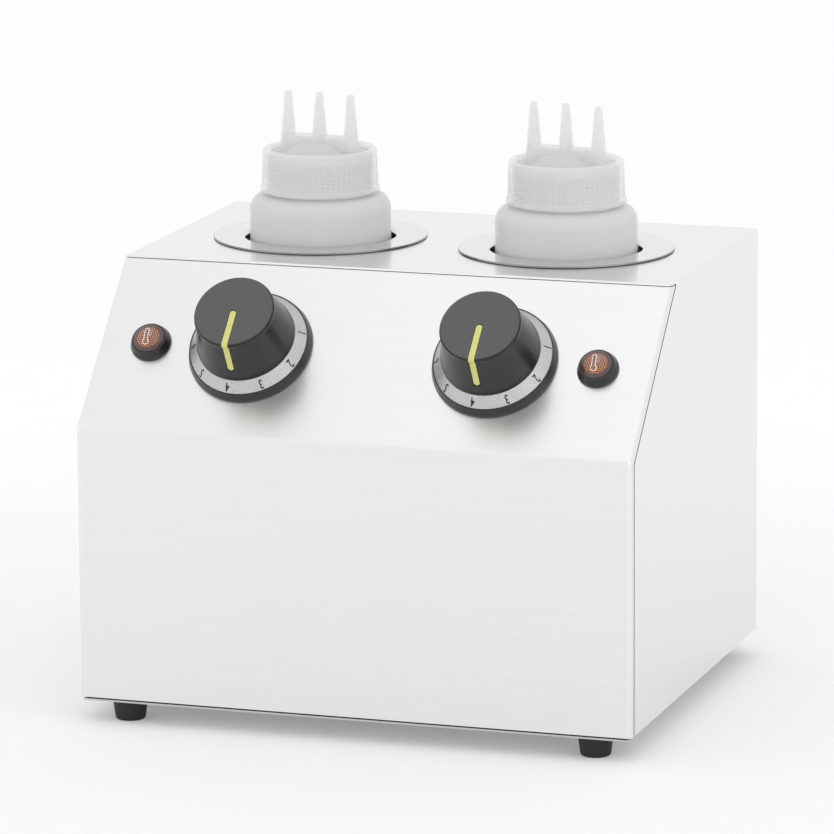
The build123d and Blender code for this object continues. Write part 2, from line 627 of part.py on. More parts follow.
def bulb_clip(side):
    """Strap round the sensor bulb with a tail on each side on the well's wall."""
    x, y = bulb_axis(side)
    outer = BULB_RADIUS + CLIP_THICKNESS
    half = CLIP_HEIGHT / 2
    clip = Cylinder(outer, CLIP_HEIGHT) - Cylinder(BULB_RADIUS, CLIP_HEIGHT)
    clip -= box_between((-outer, 0, -CLIP_HEIGHT), (outer, 2 * outer, CLIP_HEIGHT))
    for end in (-1, 1):
        near, far = sorted((end * BULB_RADIUS, end * outer))
        clip += box_between((near, -0.01, -half), (far, BULB_RADIUS, half))
        near, far = sorted((end * BULB_RADIUS, end * (outer + CLIP_TAIL)))
        clip += box_between((near, BULB_RADIUS - CLIP_THICKNESS, -half), (far, 2 * BULB_RADIUS, half))
    clip = Pos(x, y, BULB_BOTTOM + BULB_LENGTH / 2) * clip
    well_body = Pos(side * WELL_SPACING / 2, WELL_Y, TOP - WELL_DEPTH / 2)
    return clip - well_body * Cylinder(WELL_OUTER, WELL_DEPTH)


# ---------------------------------------------------------------- bottles and caps
def bottle():
    """Blow-moulded bottle standing on the well's floor, axis on Z."""
    inner = BOTTLE_RADIUS - BOTTLE_WALL
    neck_inner = NECK_RADIUS - BOTTLE_WALL
    solid = turned((0, WELL_FLOOR), (BOTTLE_RADIUS, WELL_FLOOR), (BOTTLE_RADIUS, SHOULDER),
                   (NECK_RADIUS, SHOULDER), (NECK_RADIUS, NECK_TOP), (neck_inner, NECK_TOP),
                   (neck_inner, SHOULDER - BOTTLE_WALL), (inner, SHOULDER - BOTTLE_WALL),
                   (inner, WELL_FLOOR + BOTTLE_WALL), (0, WELL_FLOOR + BOTTLE_WALL),
                   radii=[0, BOTTLE_BASE_RADIUS, BOTTLE_SHOULDER_RADIUS, 0.6, 0, 0, 0.6,
                          BOTTLE_SHOULDER_RADIUS - BOTTLE_WALL, BOTTLE_BASE_RADIUS - BOTTLE_WALL, 0])
    for turn in range(THREAD_TURNS):
        z = SHOULDER + THREAD_START + turn * THREAD_PITCH
        crest = NECK_RADIUS + THREAD_DEPTH
        solid += turned((NECK_RADIUS - 0.3, z - 1.1), (crest, z - 0.35), (crest, z + 0.35),
                        (NECK_RADIUS - 0.3, z + 1.1))
    return solid


def collar():
    """Screw collar: ribbed tapered skirt with a flared lip, open in the middle."""
    under = INSERT_TOP + INSERT_GAP
    lip_top = COLLAR_BOTTOM + COLLAR_LIP_HEIGHT
    solid = turned((COLLAR_BORE, COLLAR_BOTTOM), (COLLAR_LIP_RADIUS, COLLAR_BOTTOM),
                   (COLLAR_LIP_RADIUS, lip_top), (COLLAR_BOTTOM_RADIUS, lip_top),
                   (COLLAR_TOP_RADIUS, COLLAR_TOP), (COLLAR_MOUTH_RADIUS, COLLAR_TOP),
                   (COLLAR_MOUTH_RADIUS, under), (COLLAR_BORE, under),
                   radii=[0, 0.5, 0.35, 0.3, COLLAR_RIM_RADIUS, COLLAR_RIM_RADIUS * 0.8, 0, 0])
    return solid


def nozzle_places():
    for index in range(NOZZLE_COUNT):
        offset = index - (NOZZLE_COUNT - 1) / 2
        extra = NOZZLE_MIDDLE_EXTRA if offset == 0 else 0.0
        yield Rot(0, 0, NOZZLE_TURN) * Pos(offset * NOZZLE_SPACING, 0, 0), TOP + NOZZLE_TOP + extra


def dome_cap(shrink):
    """Dome over the disc's middle, its surface moved inward by shrink."""
    sphere_radius = (DOME_RADIUS ** 2 + DOME_HEIGHT ** 2) / (2 * DOME_HEIGHT)
    dome = Pos(0, 0, INSERT_TOP + DOME_HEIGHT - sphere_radius) * Sphere(sphere_radius - shrink)
    reach = DOME_RADIUS - shrink
    return dome & box_between((-reach, -reach, NECK_TOP), (reach, reach, INSERT_TOP + DOME_HEIGHT))


def nozzle_bar(shrink):
    """Raised bar along the nozzle row, its surface moved inward by shrink."""
    face = Rot(0, 0, NOZZLE_TURN) * SlotOverall(BOSS_LENGTH - 2 * shrink, BOSS_WIDTH - 2 * shrink)
    bar = extrude(face, INSERT_THICKNESS + BOSS_HEIGHT - shrink)
    bar = fillet(bar.faces().sort_by(Axis.Z)[-1].edges(), BOSS_EDGE)
    return Pos(0, 0, NECK_TOP) * bar


def nozzle_insert():
    """Disc clamped on the neck by the collar, with a plug seal, a dome, a bar and three nozzles."""
    flange_radius = COLLAR_BORE - INSERT_GAP
    plug_outer = NECK_RADIUS - BOTTLE_WALL - INSERT_GAP
    solid = turned((0, NECK_TOP), (flange_radius, NECK_TOP), (flange_radius, INSERT_TOP),
                   (0, INSERT_TOP))
    solid += dome_cap(0) + nozzle_bar(0)
    hollow = dome_cap(BOSS_WALL) + nozzle_bar(BOSS_WALL)
    for place, tip in nozzle_places():
        solid += place * turned((0, NECK_TOP), (NOZZLE_BASE_RADIUS, NECK_TOP),
                                (NOZZLE_BASE_RADIUS, INSERT_TOP), (NOZZLE_TIP_RADIUS, tip), (0, tip))
        hollow += place * turned((0, NECK_TOP), (NOZZLE_BASE_RADIUS - NOZZLE_WALL, NECK_TOP),
                                 (NOZZLE_BASE_RADIUS - NOZZLE_WALL, INSERT_TOP),
                                 (NOZZLE_TIP_RADIUS - NOZZLE_WALL, tip), (0, tip))
    solid -= hollow
    return solid + turned((plug_outer - PLUG_WALL, NECK_TOP - PLUG_DEPTH),
                          (plug_outer, NECK_TOP - PLUG_DEPTH), (plug_outer, NECK_TOP + 0.5),
                          (plug_outer - PLUG_WALL, NECK_TOP + 0.5))


# ---------------------------------------------------------------- thermostats, knobs, lamps
def thermostat_body():
    """Thermostat behind the panel, its bush through the hole; Z outward from the slope's face."""
    back = -SHEET - THERMOSTAT_DEPTH
    case = box_between((-THERMOSTAT_WIDTH / 2, -THERMOSTAT_HEIGHT / 2, back),
                       (THERMOSTAT_WIDTH / 2, THERMOSTAT_HEIGHT / 2, -SHEET))
    case = fillet(case.edges().filter_by(Axis.Z), THERMOSTAT_EDGE)
    case += Pos(0, 0, (BUSH_HEIGHT - SHEET - 1) / 2) * Cylinder(BUSH_RADIUS, BUSH_HEIGHT + SHEET + 1)
    bore = SHAFT_RADIUS + SHAFT_RUNNING_GAP
    depth = SHAFT_DEPTH + 0.4
    case -= Pos(0, 0, (BUSH_HEIGHT + 1 - depth) / 2) * Cylinder(bore, BUSH_HEIGHT + 1 + depth)
    screws = [Pos(end * THERMOSTAT_SCREW_SPACING / 2, 0, 0) for end in (-1, 1)]
    return drilled(case, screws, SCREW_RADIUS, 2 * PANEL_SCREW_LENGTH + 1)


def thermostat_shaft():
    return Pos(0, 0, (SHAFT_REACH - SHAFT_DEPTH) / 2) * Cylinder(SHAFT_RADIUS, SHAFT_REACH + SHAFT_DEPTH)


def dial_rim():
    return turned((RIM_BORE, 0), (RIM_RADIUS, 0), (RIM_RADIUS, RIM_STEP), (RIM_TOP_RADIUS, RIM_HEIGHT),
                  (SCALE_RADIUS, RIM_HEIGHT), (SCALE_RADIUS, RIM_SEAT), (RIM_BORE, RIM_SEAT),
                  radii=[0, 0.3, 0.5, 0.2, 0, 0, 0])


def dial_scale():
    """Silver ring that carries the printed numbers on its bevel."""
    inner = SCALE_TOP_RADIUS - SCALE_THICKNESS
    return turned((RIM_BORE, RIM_SEAT), (SCALE_RADIUS, RIM_SEAT), (SCALE_RADIUS, RIM_HEIGHT),
                  (SCALE_TOP_RADIUS, SCALE_TOP_HEIGHT), (inner, SCALE_TOP_HEIGHT),
                  (inner, RIM_HEIGHT), (RIM_BORE, RIM_HEIGHT))


def knob_outline():
    """Outer corners of the knob from its skirt to the middle of its top."""
    skirt = SCALE_TOP_HEIGHT + KNOB_RUNNING_GAP
    return [(KNOB_SKIRT_RADIUS, skirt), (KNOB_SKIRT_RADIUS, skirt + KNOB_SKIRT_BAND),
            (KNOB_WAIST_RADIUS, KNOB_WAIST_HEIGHT), (KNOB_LIP_RADIUS, KNOB_WAIST_HEIGHT + KNOB_LIP_RISE),
            (KNOB_LIP_RADIUS, KNOB_HEIGHT), (0, KNOB_HEIGHT)]


def knob_radii(edge):
    """Corner radii of the knob's outline, from the axis at the skirt to the middle of the top."""
    return [0, 0, KNOB_SKIRT_EDGE, KNOB_GROOVE_RADIUS, KNOB_GROOVE_RADIUS, edge, 0]


def knob_blank():
    skirt = SCALE_TOP_HEIGHT + KNOB_RUNNING_GAP
    return turned((0, skirt), *knob_outline(), radii=knob_radii(KNOB_EDGE))


def knob():
    """Hollow knob with a hub on the shaft and a recess for the pointer."""
    skirt = SCALE_TOP_HEIGHT + KNOB_RUNNING_GAP
    ceiling = KNOB_HEIGHT - KNOB_WALL * 1.6
    hollow = turned((KNOB_HUB_RADIUS, skirt - 1), (KNOB_SKIRT_RADIUS - KNOB_WALL, skirt - 1),
                    (KNOB_SKIRT_RADIUS - KNOB_WALL, skirt + KNOB_SKIRT_BAND),
                    (KNOB_WAIST_RADIUS - KNOB_WALL, ceiling), (KNOB_HUB_RADIUS, ceiling))
    hub = turned((0, BUSH_HEIGHT + KNOB_RUNNING_GAP), (KNOB_HUB_RADIUS, BUSH_HEIGHT + KNOB_RUNNING_GAP),
                 (KNOB_HUB_RADIUS, skirt + 2), (0, skirt + 2))
    bore = Pos(0, 0, SHAFT_REACH / 2) * Cylinder(SHAFT_RADIUS + SHAFT_RUNNING_GAP, SHAFT_REACH)
    return knob_blank() - hollow + hub - bore - knob_pointer()


def knob_pointer():
    """Inlaid line from near the middle of the top, over the lip and down the flank."""
    start = POINTER_TOP_START
    reach = KNOB_SKIRT_RADIUS
    bar = SlotOverall(reach + POINTER_WIDTH / 2 - start, POINTER_WIDTH)
    bar = Pos((reach + POINTER_WIDTH / 2 + start) / 2, 0) * bar
    column = extrude(bar, KNOB_HEIGHT - POINTER_FOOT_HEIGHT + 2)
    column = Rot(0, 0, 90 - POINTER_TURN) * Pos(0, 0, POINTER_FOOT_HEIGHT) * column
    skin = knob_blank() - knob_core()
    return skin & column


def knob_core():
    """The knob's blank shrunk by the pointer's depth."""
    skirt = SCALE_TOP_HEIGHT + KNOB_RUNNING_GAP
    outline = [(radius - POINTER_DEPTH, height) for radius, height in knob_outline()[:-2]]
    top = KNOB_HEIGHT - POINTER_DEPTH
    return turned((0, skirt), *outline, (KNOB_LIP_RADIUS - POINTER_DEPTH, top), (0, top),
                  radii=knob_radii(KNOB_EDGE - POINTER_DEPTH))


def lamp_bezel():
    return turned((LAMP_BODY_RADIUS, 0), (LAMP_BEZEL_RADIUS, 0), (LAMP_BEZEL_RADIUS, LAMP_BEZEL_STEP),
                  (LAMP_BEZEL_TOP_RADIUS, LAMP_BEZEL_HEIGHT), (LAMP_LENS_RADIUS, LAMP_BEZEL_HEIGHT),
                  (LAMP_LENS_RADIUS, LAMP_BEZEL_STEP), (LAMP_BODY_RADIUS, LAMP_BEZEL_STEP),
                  radii=[0, 0.3, 0.5, 0.4, 0, 0, 0])


def lamp_lens():
    """Lens seated on the bezel's ledge, crowned on top."""
    side_top = LAMP_LENS_SIDE
    crown = LAMP_LENS_HEIGHT - side_top
    crown_radius = (LAMP_LENS_RADIUS ** 2 + crown ** 2) / (2 * crown)
    lens = box_between((-LAMP_LENS_RADIUS, -LAMP_LENS_RADIUS, LAMP_BEZEL_STEP),
                       (LAMP_LENS_RADIUS, LAMP_LENS_RADIUS, LAMP_LENS_HEIGHT))
    lens &= Pos(0, 0, (LAMP_BEZEL_STEP + LAMP_LENS_HEIGHT) / 2) * Cylinder(
        LAMP_LENS_RADIUS, LAMP_LENS_HEIGHT - LAMP_BEZEL_STEP)
    return lens & Pos(0, 0, LAMP_LENS_HEIGHT - crown_radius) * Sphere(crown_radius)


def lamp_body():
    top = LAMP_BEZEL_STEP
    body = Pos(0, 0, (top - LAMP_BODY_DEPTH) / 2) * Cylinder(LAMP_BODY_RADIUS, top + LAMP_BODY_DEPTH)
    for end in (-1, 1):
        tab = Box(LAMP_TAB_THICKNESS, LAMP_TAB_WIDTH, LAMP_TAB_LENGTH)
        body += Pos(end * LAMP_BODY_RADIUS / 2, 0, -LAMP_BODY_DEPTH - LAMP_TAB_LENGTH / 2 + 0.5) * tab
    return body


def lamp_nut():
    return Pos(0, 0, -SHEET - LAMP_NUT_HEIGHT) * hex_nut(LAMP_NUT_WIDTH, LAMP_NUT_HEIGHT,
                                                         LAMP_BODY_RADIUS)


# ---------------------------------------------------------------- supply
def cable_gland():
    """Gland through the rear panel, bored for the mains lead; Z points backwards."""
    hexagon = extrude(RegularPolygon(GLAND_HEX_WIDTH / 2, 6, major_radius=False), GLAND_HEX_LENGTH)
    dome = turned((0, GLAND_HEX_LENGTH - 1), (GLAND_DOME_RADIUS, GLAND_HEX_LENGTH - 1),
                  (GLAND_DOME_RADIUS, GLAND_REACH), (0, GLAND_REACH), radii=[0, 0, 3.0, 0])
    length = GLAND_THREAD_LENGTH + SHEET
    thread = Pos(0, 0, -length / 2) * Cylinder(GLAND_THREAD_RADIUS, length)
    gland = hexagon + dome + thread
    middle = (GLAND_REACH - length) / 2
    return gland - Pos(0, 0, middle) * Cylinder(GLAND_BORE, GLAND_REACH + length + 2)


def gland_nut():
    return Pos(0, 0, -SHEET - GLAND_NUT_LENGTH) * hex_nut(GLAND_HEX_WIDTH, GLAND_NUT_LENGTH,
                                                          GLAND_THREAD_RADIUS)


def block_poles():
    return [(index - (BLOCK_POLES - 1) / 2) * BLOCK_POLE_PITCH for index in range(BLOCK_POLES)]


def terminal_block():
    y = FRONT + BLOCK_SETBACK
    block = box_between((-BLOCK_WIDTH / 2, y - BLOCK_DEPTH / 2, TRAY_TOP),
                        (BLOCK_WIDTH / 2, y + BLOCK_DEPTH / 2, TRAY_TOP + BLOCK_HEIGHT))
    block = chamfer(block.edges().filter_by(Axis.X).group_by(Axis.Z)[-1], 2.0)
    top = TRAY_TOP + BLOCK_HEIGHT
    wells = [Pos(x, y, top) for x in block_poles()]
    return drilled(block, wells, BLOCK_SCREW_RADIUS, 2 * BLOCK_SCREW_SINK)


def terminal_screws():
    top = TRAY_TOP + BLOCK_HEIGHT
    screw = Cylinder(BLOCK_SCREW_RADIUS, BLOCK_SCREW_SINK) - Pos(0, 0, BLOCK_SCREW_SINK / 2) * Box(
        2 * BLOCK_SCREW_RADIUS, 0.8, 1.0)
    y = FRONT + BLOCK_SETBACK
    return Compound([Pos(x, y, top - BLOCK_SCREW_SINK / 2) * screw for x in block_poles()])


def earth_stud():
    """Stud pressed up through the tray, with its nut."""
    stud = pan_screw(EARTH_STUD_HEIGHT)
    stud = Pos(0, 0, TRAY_BOTTOM) * Rot(180, 0, 0) * stud
    nut = Pos(0, 0, TRAY_TOP) * hex_nut(2 * NUT_RADIUS, NUT_HEIGHT, SCREW_RADIUS - THREAD_GRIP)
    return Pos(EARTH_STUD_X, FRONT + BLOCK_SETBACK, 0) * (stud + nut)


def heater_lead(side):
    """Lead from the terminal block's end up to the band heater's lug."""
    wire_z = TRAY_TOP + BLOCK_HEIGHT / 2
    block_y = FRONT + BLOCK_SETBACK
    lug_x = side * (WELL_SPACING / 2 - HEATER_LUG_FACE - WIRE_RADIUS)
    lug_y = WELL_Y + HEATER_OUTER + HEATER_LUG_REACH / 2
    lug_z = HEATER_MIDDLE - HEATER_LUG_HEIGHT / 2 + WIRE_RADIUS
    leaving = BLOCK_WIDTH / 2 + LEAD_STRAIGHT
    low, high = [wire_z + part * (lug_z - wire_z) for part in HEATER_LEAD_BENDS]
    route = [(side * BLOCK_WIDTH / 2, block_y, wire_z), (side * leaving, block_y, wire_z),
             ((side * leaving + lug_x) / 2, (block_y + lug_y) / 2, low),
             (lug_x, lug_y, high), (lug_x, lug_y, lug_z)]
    return round_wire(route, WIRE_RADIUS)


def thermostat_lead(side):
    """Lead from the terminal block forward under the well and up to the thermostat."""
    wire_z = TRAY_TOP + BLOCK_HEIGHT / 2
    block_y = FRONT + BLOCK_SETBACK - BLOCK_DEPTH / 2
    tail = slope_plane(side * KNOB_ACROSS, KNOB_UP_SLOPE - THERMOSTAT_HEIGHT / 4)
    end = tail.from_local_coords((-side * THERMOSTAT_WIDTH / 4, 0, -SHEET - THERMOSTAT_DEPTH))
    leaving = end - SLOPE_NORMAL * WIRE_STRAIGHT
    low, high = [wire_z + part * (leaving.Z - wire_z) for part in THERMOSTAT_LEAD_BENDS]
    route = [(side * BLOCK_POLE_PITCH, block_y, wire_z),
             (side * BLOCK_POLE_PITCH, block_y - LEAD_STRAIGHT, wire_z),
             ((side * BLOCK_POLE_PITCH + end.X) / 2, WELL_Y, (wire_z + low) / 2),
             (end.X, WELL_Y - WELL_OUTER - LEAD_STRAIGHT, low),
             (end.X, leaving.Y, high), leaving, end]
    return round_wire(route, WIRE_RADIUS)


def leads(make_lead, name):
    wires = []
    for side in SIDES.values():
        wire, radii = make_lead(side)
        print(name, "radii", [round(r, 1) for r in radii])
        wires.append(wire)
    return Compound(wires)


# ---------------------------------------------------------------- assembly
def assemble():
    parts = {
        "body_shell": body_shell(), "front_panel": front_panel(), "rear_panel": rear_panel(),
        "base_tray": base_tray(), "rubber_feet": at_feet(rubber_foot()),
        "foot_screws": at_feet(foot_screw()), "foot_nuts": at_feet(foot_nut()),
        "rear_screws": rear_screws(), "thermostat_screws": thermostat_screws(),
        "terminal_block": terminal_block(), "terminal_screws": terminal_screws(),
        "earth_stud": earth_stud(),
        "cable_gland": rear_plane(0, BOTTOM + GLAND_HEIGHT) * cable_gland(),
        "gland_nut": rear_plane(0, BOTTOM + GLAND_HEIGHT) * gland_nut(),
        "heater_leads": leads(heater_lead, "heater lead"),
        "thermostat_leads": leads(thermostat_lead, "thermostat lead"),
    }
    for name, side in SIDES.items():
        at_well = Pos(side * WELL_SPACING / 2, WELL_Y, 0)
        for node, make in (("well", well), ("well_gasket", well_gasket),
                           ("well_retainer", well_retainer), ("heater_band", heater_band),
                           ("heater_clamp", heater_clamp), ("thermal_cutout", thermal_cutout),
                           ("bottle", bottle), ("collar", collar), ("nozzle_insert", nozzle_insert)):
            parts[f"{node}_{name}"] = at_well * make()
        at_knob = slope_plane(side * KNOB_ACROSS, KNOB_UP_SLOPE)
        for node, make in (("thermostat_body", thermostat_body), ("thermostat_shaft", thermostat_shaft),
                           ("dial_rim", dial_rim), ("dial_scale", dial_scale), ("knob", knob),
                           ("knob_pointer", knob_pointer)):
            parts[f"{node}_{name}"] = at_knob * make()
        at_lamp = slope_plane(side * LAMP_ACROSS, LAMP_UP_SLOPE)
        for node, make in (("lamp_bezel", lamp_bezel), ("lamp_lens", lamp_lens),
                           ("lamp_body", lamp_body), ("lamp_nut", lamp_nut)):
            parts[f"{node}_{name}"] = at_lamp * make()
        parts[f"sensor_bulb_{name}"] = sensor_bulb(side)
        parts[f"bulb_clip_{name}"] = bulb_clip(side)
    return parts


def write_parts():
    os.makedirs("parts", exist_ok=True)
    for name, solid in assemble().items():
        export_step(solid, f"parts/{name}.step")


write_parts()
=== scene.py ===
import json
from math import atan2, cos, hypot, pi, radians, sin, sqrt, tau

import bpy
from mathutils import Matrix, Vector


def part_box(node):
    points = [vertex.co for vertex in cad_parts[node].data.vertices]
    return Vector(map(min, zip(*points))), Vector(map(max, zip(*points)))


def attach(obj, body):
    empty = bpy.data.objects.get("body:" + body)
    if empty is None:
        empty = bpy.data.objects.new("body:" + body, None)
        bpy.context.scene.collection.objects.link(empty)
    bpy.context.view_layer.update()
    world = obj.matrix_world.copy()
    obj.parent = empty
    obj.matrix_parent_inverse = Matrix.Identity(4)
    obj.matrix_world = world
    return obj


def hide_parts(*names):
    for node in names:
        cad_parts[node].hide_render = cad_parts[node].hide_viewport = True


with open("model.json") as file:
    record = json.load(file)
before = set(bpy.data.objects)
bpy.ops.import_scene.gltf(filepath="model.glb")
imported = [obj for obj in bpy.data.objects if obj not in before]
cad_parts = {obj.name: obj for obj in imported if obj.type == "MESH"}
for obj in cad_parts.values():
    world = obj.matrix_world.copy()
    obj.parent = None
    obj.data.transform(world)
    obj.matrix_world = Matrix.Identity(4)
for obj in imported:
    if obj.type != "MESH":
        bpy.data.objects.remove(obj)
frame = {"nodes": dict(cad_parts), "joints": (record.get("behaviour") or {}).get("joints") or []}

# Twin squeeze-bottle warmer: finishes, fine modelled detail, plain studio. Metres.
MM = 0.001
SIDES = {"left": -1, "right": 1}
JOINTS = {joint["name"]: joint for joint in frame["joints"]}
# knob outline, (radius, height off the slope)
KNOB_TOP = 35.6 * MM
KNOB_LIP = 21.4 * MM
KNOB_EDGE = 1.6 * MM
KNOB_WAIST = (20.8 * MM, 32.4 * MM)
KNOB_SKIRT = (26.1 * MM, 11.85 * MM)
LENS_BAND = 6.1 * MM             # inner radius of the lamp lens's smooth band
FACET_PITCH = 1.3 * MM
# the knob's top is painted lighter than its black flanks: painted light from above
KNOB_TOP_PAINTED_LIGHT_TONE = 0.09
SHELL_SHEET = 1.05 * MM          # the side sheets' thickness and a little clearance
CUT_EDGE_DULL_AND_SHADE_TONE = 0.3              # sheared steel, duller than the brushed faces, and darkened further as painted shade of the seam gaps
CUT_EDGE_FACING = -0.3           # the Y of its normal is below this
KNOB_FLANK_TONE = 0.02
KNOB_LIP_AND_FOOT_SHADE_TONE = 0.003            # painted shade on the edge of its top, and on its foot
# lens colours: the amber lightened on the bump tops as painted highlight, a paler painted
# reflection, and painted shade between the bumps
LENS_AMBER_AND_HIGHLIGHT_ORANGE = (0.95, 0.34, 0.07)
LENS_PAINTED_REFLECTION_PALE = (0.80, 0.38, 0.22)
LENS_PAINTED_SHADE_BETWEEN_BUMPS = (0.06, 0.010, 0.005)
LENS_SMOKED = (0.085, 0.034, 0.027)
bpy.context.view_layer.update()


# ---------------------------------------------------------------- node helpers
def new_material(name):
    """New material, its emptied tree and the output node in it."""
    material = bpy.data.materials.new(name)
    material.use_nodes = True
    tree = material.node_tree
    tree.nodes.clear()
    return material, tree, add_node(tree, "ShaderNodeOutputMaterial")


def add_node(tree, kind, inputs=None, **settings):
    """Node with settings; each input is a value or another node's output socket."""
    node = tree.nodes.new(kind)
    for key, value in settings.items():
        setattr(node, key, value)
    for key, value in (inputs or {}).items():
        if isinstance(value, bpy.types.NodeSocket):
            tree.links.new(value, node.inputs[key])
        else:
            node.inputs[key].default_value = value
    return node


def object_coordinates(tree):
    return add_node(tree, "ShaderNodeTexCoord").outputs["Object"]


def scaled(tree, vector, scale):
    return add_node(tree, "ShaderNodeMapping", {"Vector": vector, "Scale": scale}).outputs["Vector"]


def noise(tree, vector, scale, detail=2.0, roughness=0.5):
    inputs = {"Vector": vector, "Scale": scale, "Detail": detail, "Roughness": roughness}
    return add_node(tree, "ShaderNodeTexNoise", inputs).outputs["Fac"]


def remap(tree, value, low, high, from_low=0.0, from_high=1.0):
    inputs = {"Value": value, "From Min": from_low, "From Max": from_high, "To Min": low,
              "To Max": high}
    return add_node(tree, "ShaderNodeMapRange", inputs).outputs["Result"]


def combine(tree, operation, first, second):
    return add_node(tree, "ShaderNodeMath", {0: first, 1: second}, operation=operation).outputs[0]


def bump(tree, height, strength, distance):
    inputs = {"Height": height, "Strength": strength, "Distance": distance}
    return add_node(tree, "ShaderNodeBump", inputs).outputs["Normal"]


def blend_colours(tree, factor, colour_a, colour_b):
    node = add_node(tree, "ShaderNodeMix", {"Factor": factor}, data_type="RGBA")
    for index, colour in ((6, colour_a), (7, colour_b)):
        if isinstance(colour, bpy.types.NodeSocket):
            tree.links.new(colour, node.inputs[index])
        else:
            node.inputs[index].default_value = colour
    return node.outputs[2]


def rgb(grey_or_colour, alpha=1.0):
    if isinstance(grey_or_colour, (int, float)):
        return (grey_or_colour,) * 3 + (alpha,)
    return tuple(grey_or_colour) + (alpha,)


def principled(tree, output, **inputs):
    names = {key.replace("_", " ").title().replace("Ior", "IOR"): value for key,
             value in inputs.items()}
    shader = add_node(tree, "ShaderNodeBsdfPrincipled", names)
    tree.links.new(shader.outputs["BSDF"], output.inputs["Surface"])
    return shader


# ---------------------------------------------------------------- materials
def side_cut_edges(tree):
    """1 on the forward-looking cut edges of the two side sheets, where the seam's painted shade
    goes.
    """
    coordinates = add_node(tree, "ShaderNodeTexCoord").outputs
    forward = add_node(tree, "ShaderNodeSeparateXYZ", {0: coordinates["Normal"]}).outputs["Y"]
    across = add_node(tree, "ShaderNodeSeparateXYZ", {0: coordinates["Object"]}).outputs["X"]
    inner_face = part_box("body_shell")[1].x - SHELL_SHEET
    at_side = combine(tree, "GREATER_THAN", combine(tree, "ABSOLUTE", across, 0.0), inner_face)
    return combine(tree, "MULTIPLY", at_side, combine(tree, "LESS_THAN", forward, CUT_EDGE_FACING))


def brushed_steel(name, across_lines, stretch, tone=0.83, rough=0.30, streak=0.03, cut_edges=None):
    """Stainless sheet; stretch draws the noise into brush lines, across_lines is the tangent."""
    material, tree, output = new_material(name)
    at = object_coordinates(tree)
    lines = noise(tree, scaled(tree, at, stretch), 1.0, 3.0, 0.6)
    broad = noise(tree, scaled(tree, at, tuple(s / 5 for s in stretch)), 1.0, 2.0)
    clouds = noise(tree, at, 9.0, 3.0)
    mixed = combine(tree, "ADD", lines, remap(tree, broad, -0.2, 0.2))
    colour = blend_colours(tree, mixed, rgb(tone - streak), rgb(tone + streak))
    if cut_edges:
        # the cut edges take a darker tone: dull sheared steel, and painted shade of the seam gaps
        colour = blend_colours(tree, cut_edges(tree), colour, rgb(CUT_EDGE_DULL_AND_SHADE_TONE))
    roughness = combine(tree, "ADD", remap(tree, lines, -0.04, 0.04),
                        remap(tree, clouds, rough - 0.02, rough + 0.02))
    tangent = add_node(tree, "ShaderNodeCombineXYZ", dict(zip("XYZ", across_lines)))
    principled(tree, output, base_color=colour, metallic=1.0, roughness=roughness, anisotropic=0.5,
               tangent=tangent.outputs[0], normal=bump(tree, lines, 0.1, 0.00003))
    return material


FLANGE_EDGE = 0.45 * MM          # width of the well flange's cut edge, which takes painted shade


def turned_steel(name, centre, rim, tone=0.72, rough=0.12):
    """Drawn, polished steel: fine rings round an upright axis and a cut edge at the rim, duller and
    darkened as painted shade of the gap under the flange.
    """
    material, tree, output = new_material(name)
    at = object_coordinates(tree)
    local = add_node(tree, "ShaderNodeVectorMath", {0: at, 1: centre},
                     operation="SUBTRACT").outputs[0]
    flat = add_node(tree, "ShaderNodeVectorMath", {0: local, 1: (1, 1, 0)},
                    operation="MULTIPLY").outputs[0]
    radius = add_node(tree, "ShaderNodeVectorMath", {0: flat}, operation="LENGTH").outputs["Value"]
    spun = add_node(tree, "ShaderNodeCombineXYZ", {"X": radius})
    rings = noise(tree, scaled(tree, spun.outputs[0], (1500, 1, 1)), 1.0, 2.0, 0.6)
    clouds = noise(tree, at, 14.0)
    roughness = combine(tree, "ADD", remap(tree, rings, -0.03, 0.03),
                        remap(tree, clouds, rough - 0.02, rough + 0.03))
    colour = blend_colours(tree, rings, rgb(tone - 0.03), rgb(tone + 0.03))
    # the rim's cut edge takes a darker tone: dull steel, and painted shade of the gap under the
    # flange
    colour = blend_colours(tree, remap(tree, radius, 0.0, 1.0, rim - FLANGE_EDGE,
                                       rim - FLANGE_EDGE / 2),
                           colour, rgb(CUT_EDGE_DULL_AND_SHADE_TONE))
    around = add_node(tree, "ShaderNodeVectorMath", {0: flat, 1: (0, 0, 1)},
                      operation="CROSS_PRODUCT")
    principled(tree, output, base_color=colour, metallic=1.0, roughness=roughness, anisotropic=0.4,
               anisotropic_rotation=0.25, tangent=around.outputs[0],
               normal=bump(tree, rings, 0.06, 0.00003))
    return material


def plain_metal(name, tone, rough, colour=None, grain=260.0, dark=0.88):
    """Small turned, plated or rolled metal with faint mottling."""
    material, tree, output = new_material(name)
    at = object_coordinates(tree)
    mottled = noise(tree, at, grain, 3.0)
    base = colour or (tone, tone, tone)
    shade = blend_colours(tree, mottled, rgb(tuple(c * dark for c in base)), rgb(base))
    principled(tree, output, base_color=shade, metallic=1.0,
               roughness=remap(tree, mottled, rough - 0.05, rough + 0.07),
               normal=bump(tree, mottled, 0.15, 0.00005))
    return material


def moulded(name, colour, rough, grain=0.00004, specular=0.5, coat=0.0):
    """Moulded plastic, rubber or ceramic with a fine surface grain."""
    material, tree, output = new_material(name)
    at = object_coordinates(tree)
    fine = noise(tree, at, 2200.0, 2.0)
    clouds = noise(tree, at, 60.0, 3.0)
    shade = blend_colours(tree, clouds, rgb(tuple(c * 0.9 for c in colour)),
                          rgb(tuple(min(1.0, c * 1.08 + 0.001) for c in colour)))
    principled(tree, output, base_color=shade,
               roughness=remap(tree, clouds, rough - 0.04, rough + 0.04),
               specular_ior_level=specular, coat_weight=coat, coat_roughness=0.12,
               normal=bump(tree, fine, 0.3, grain))
    return material


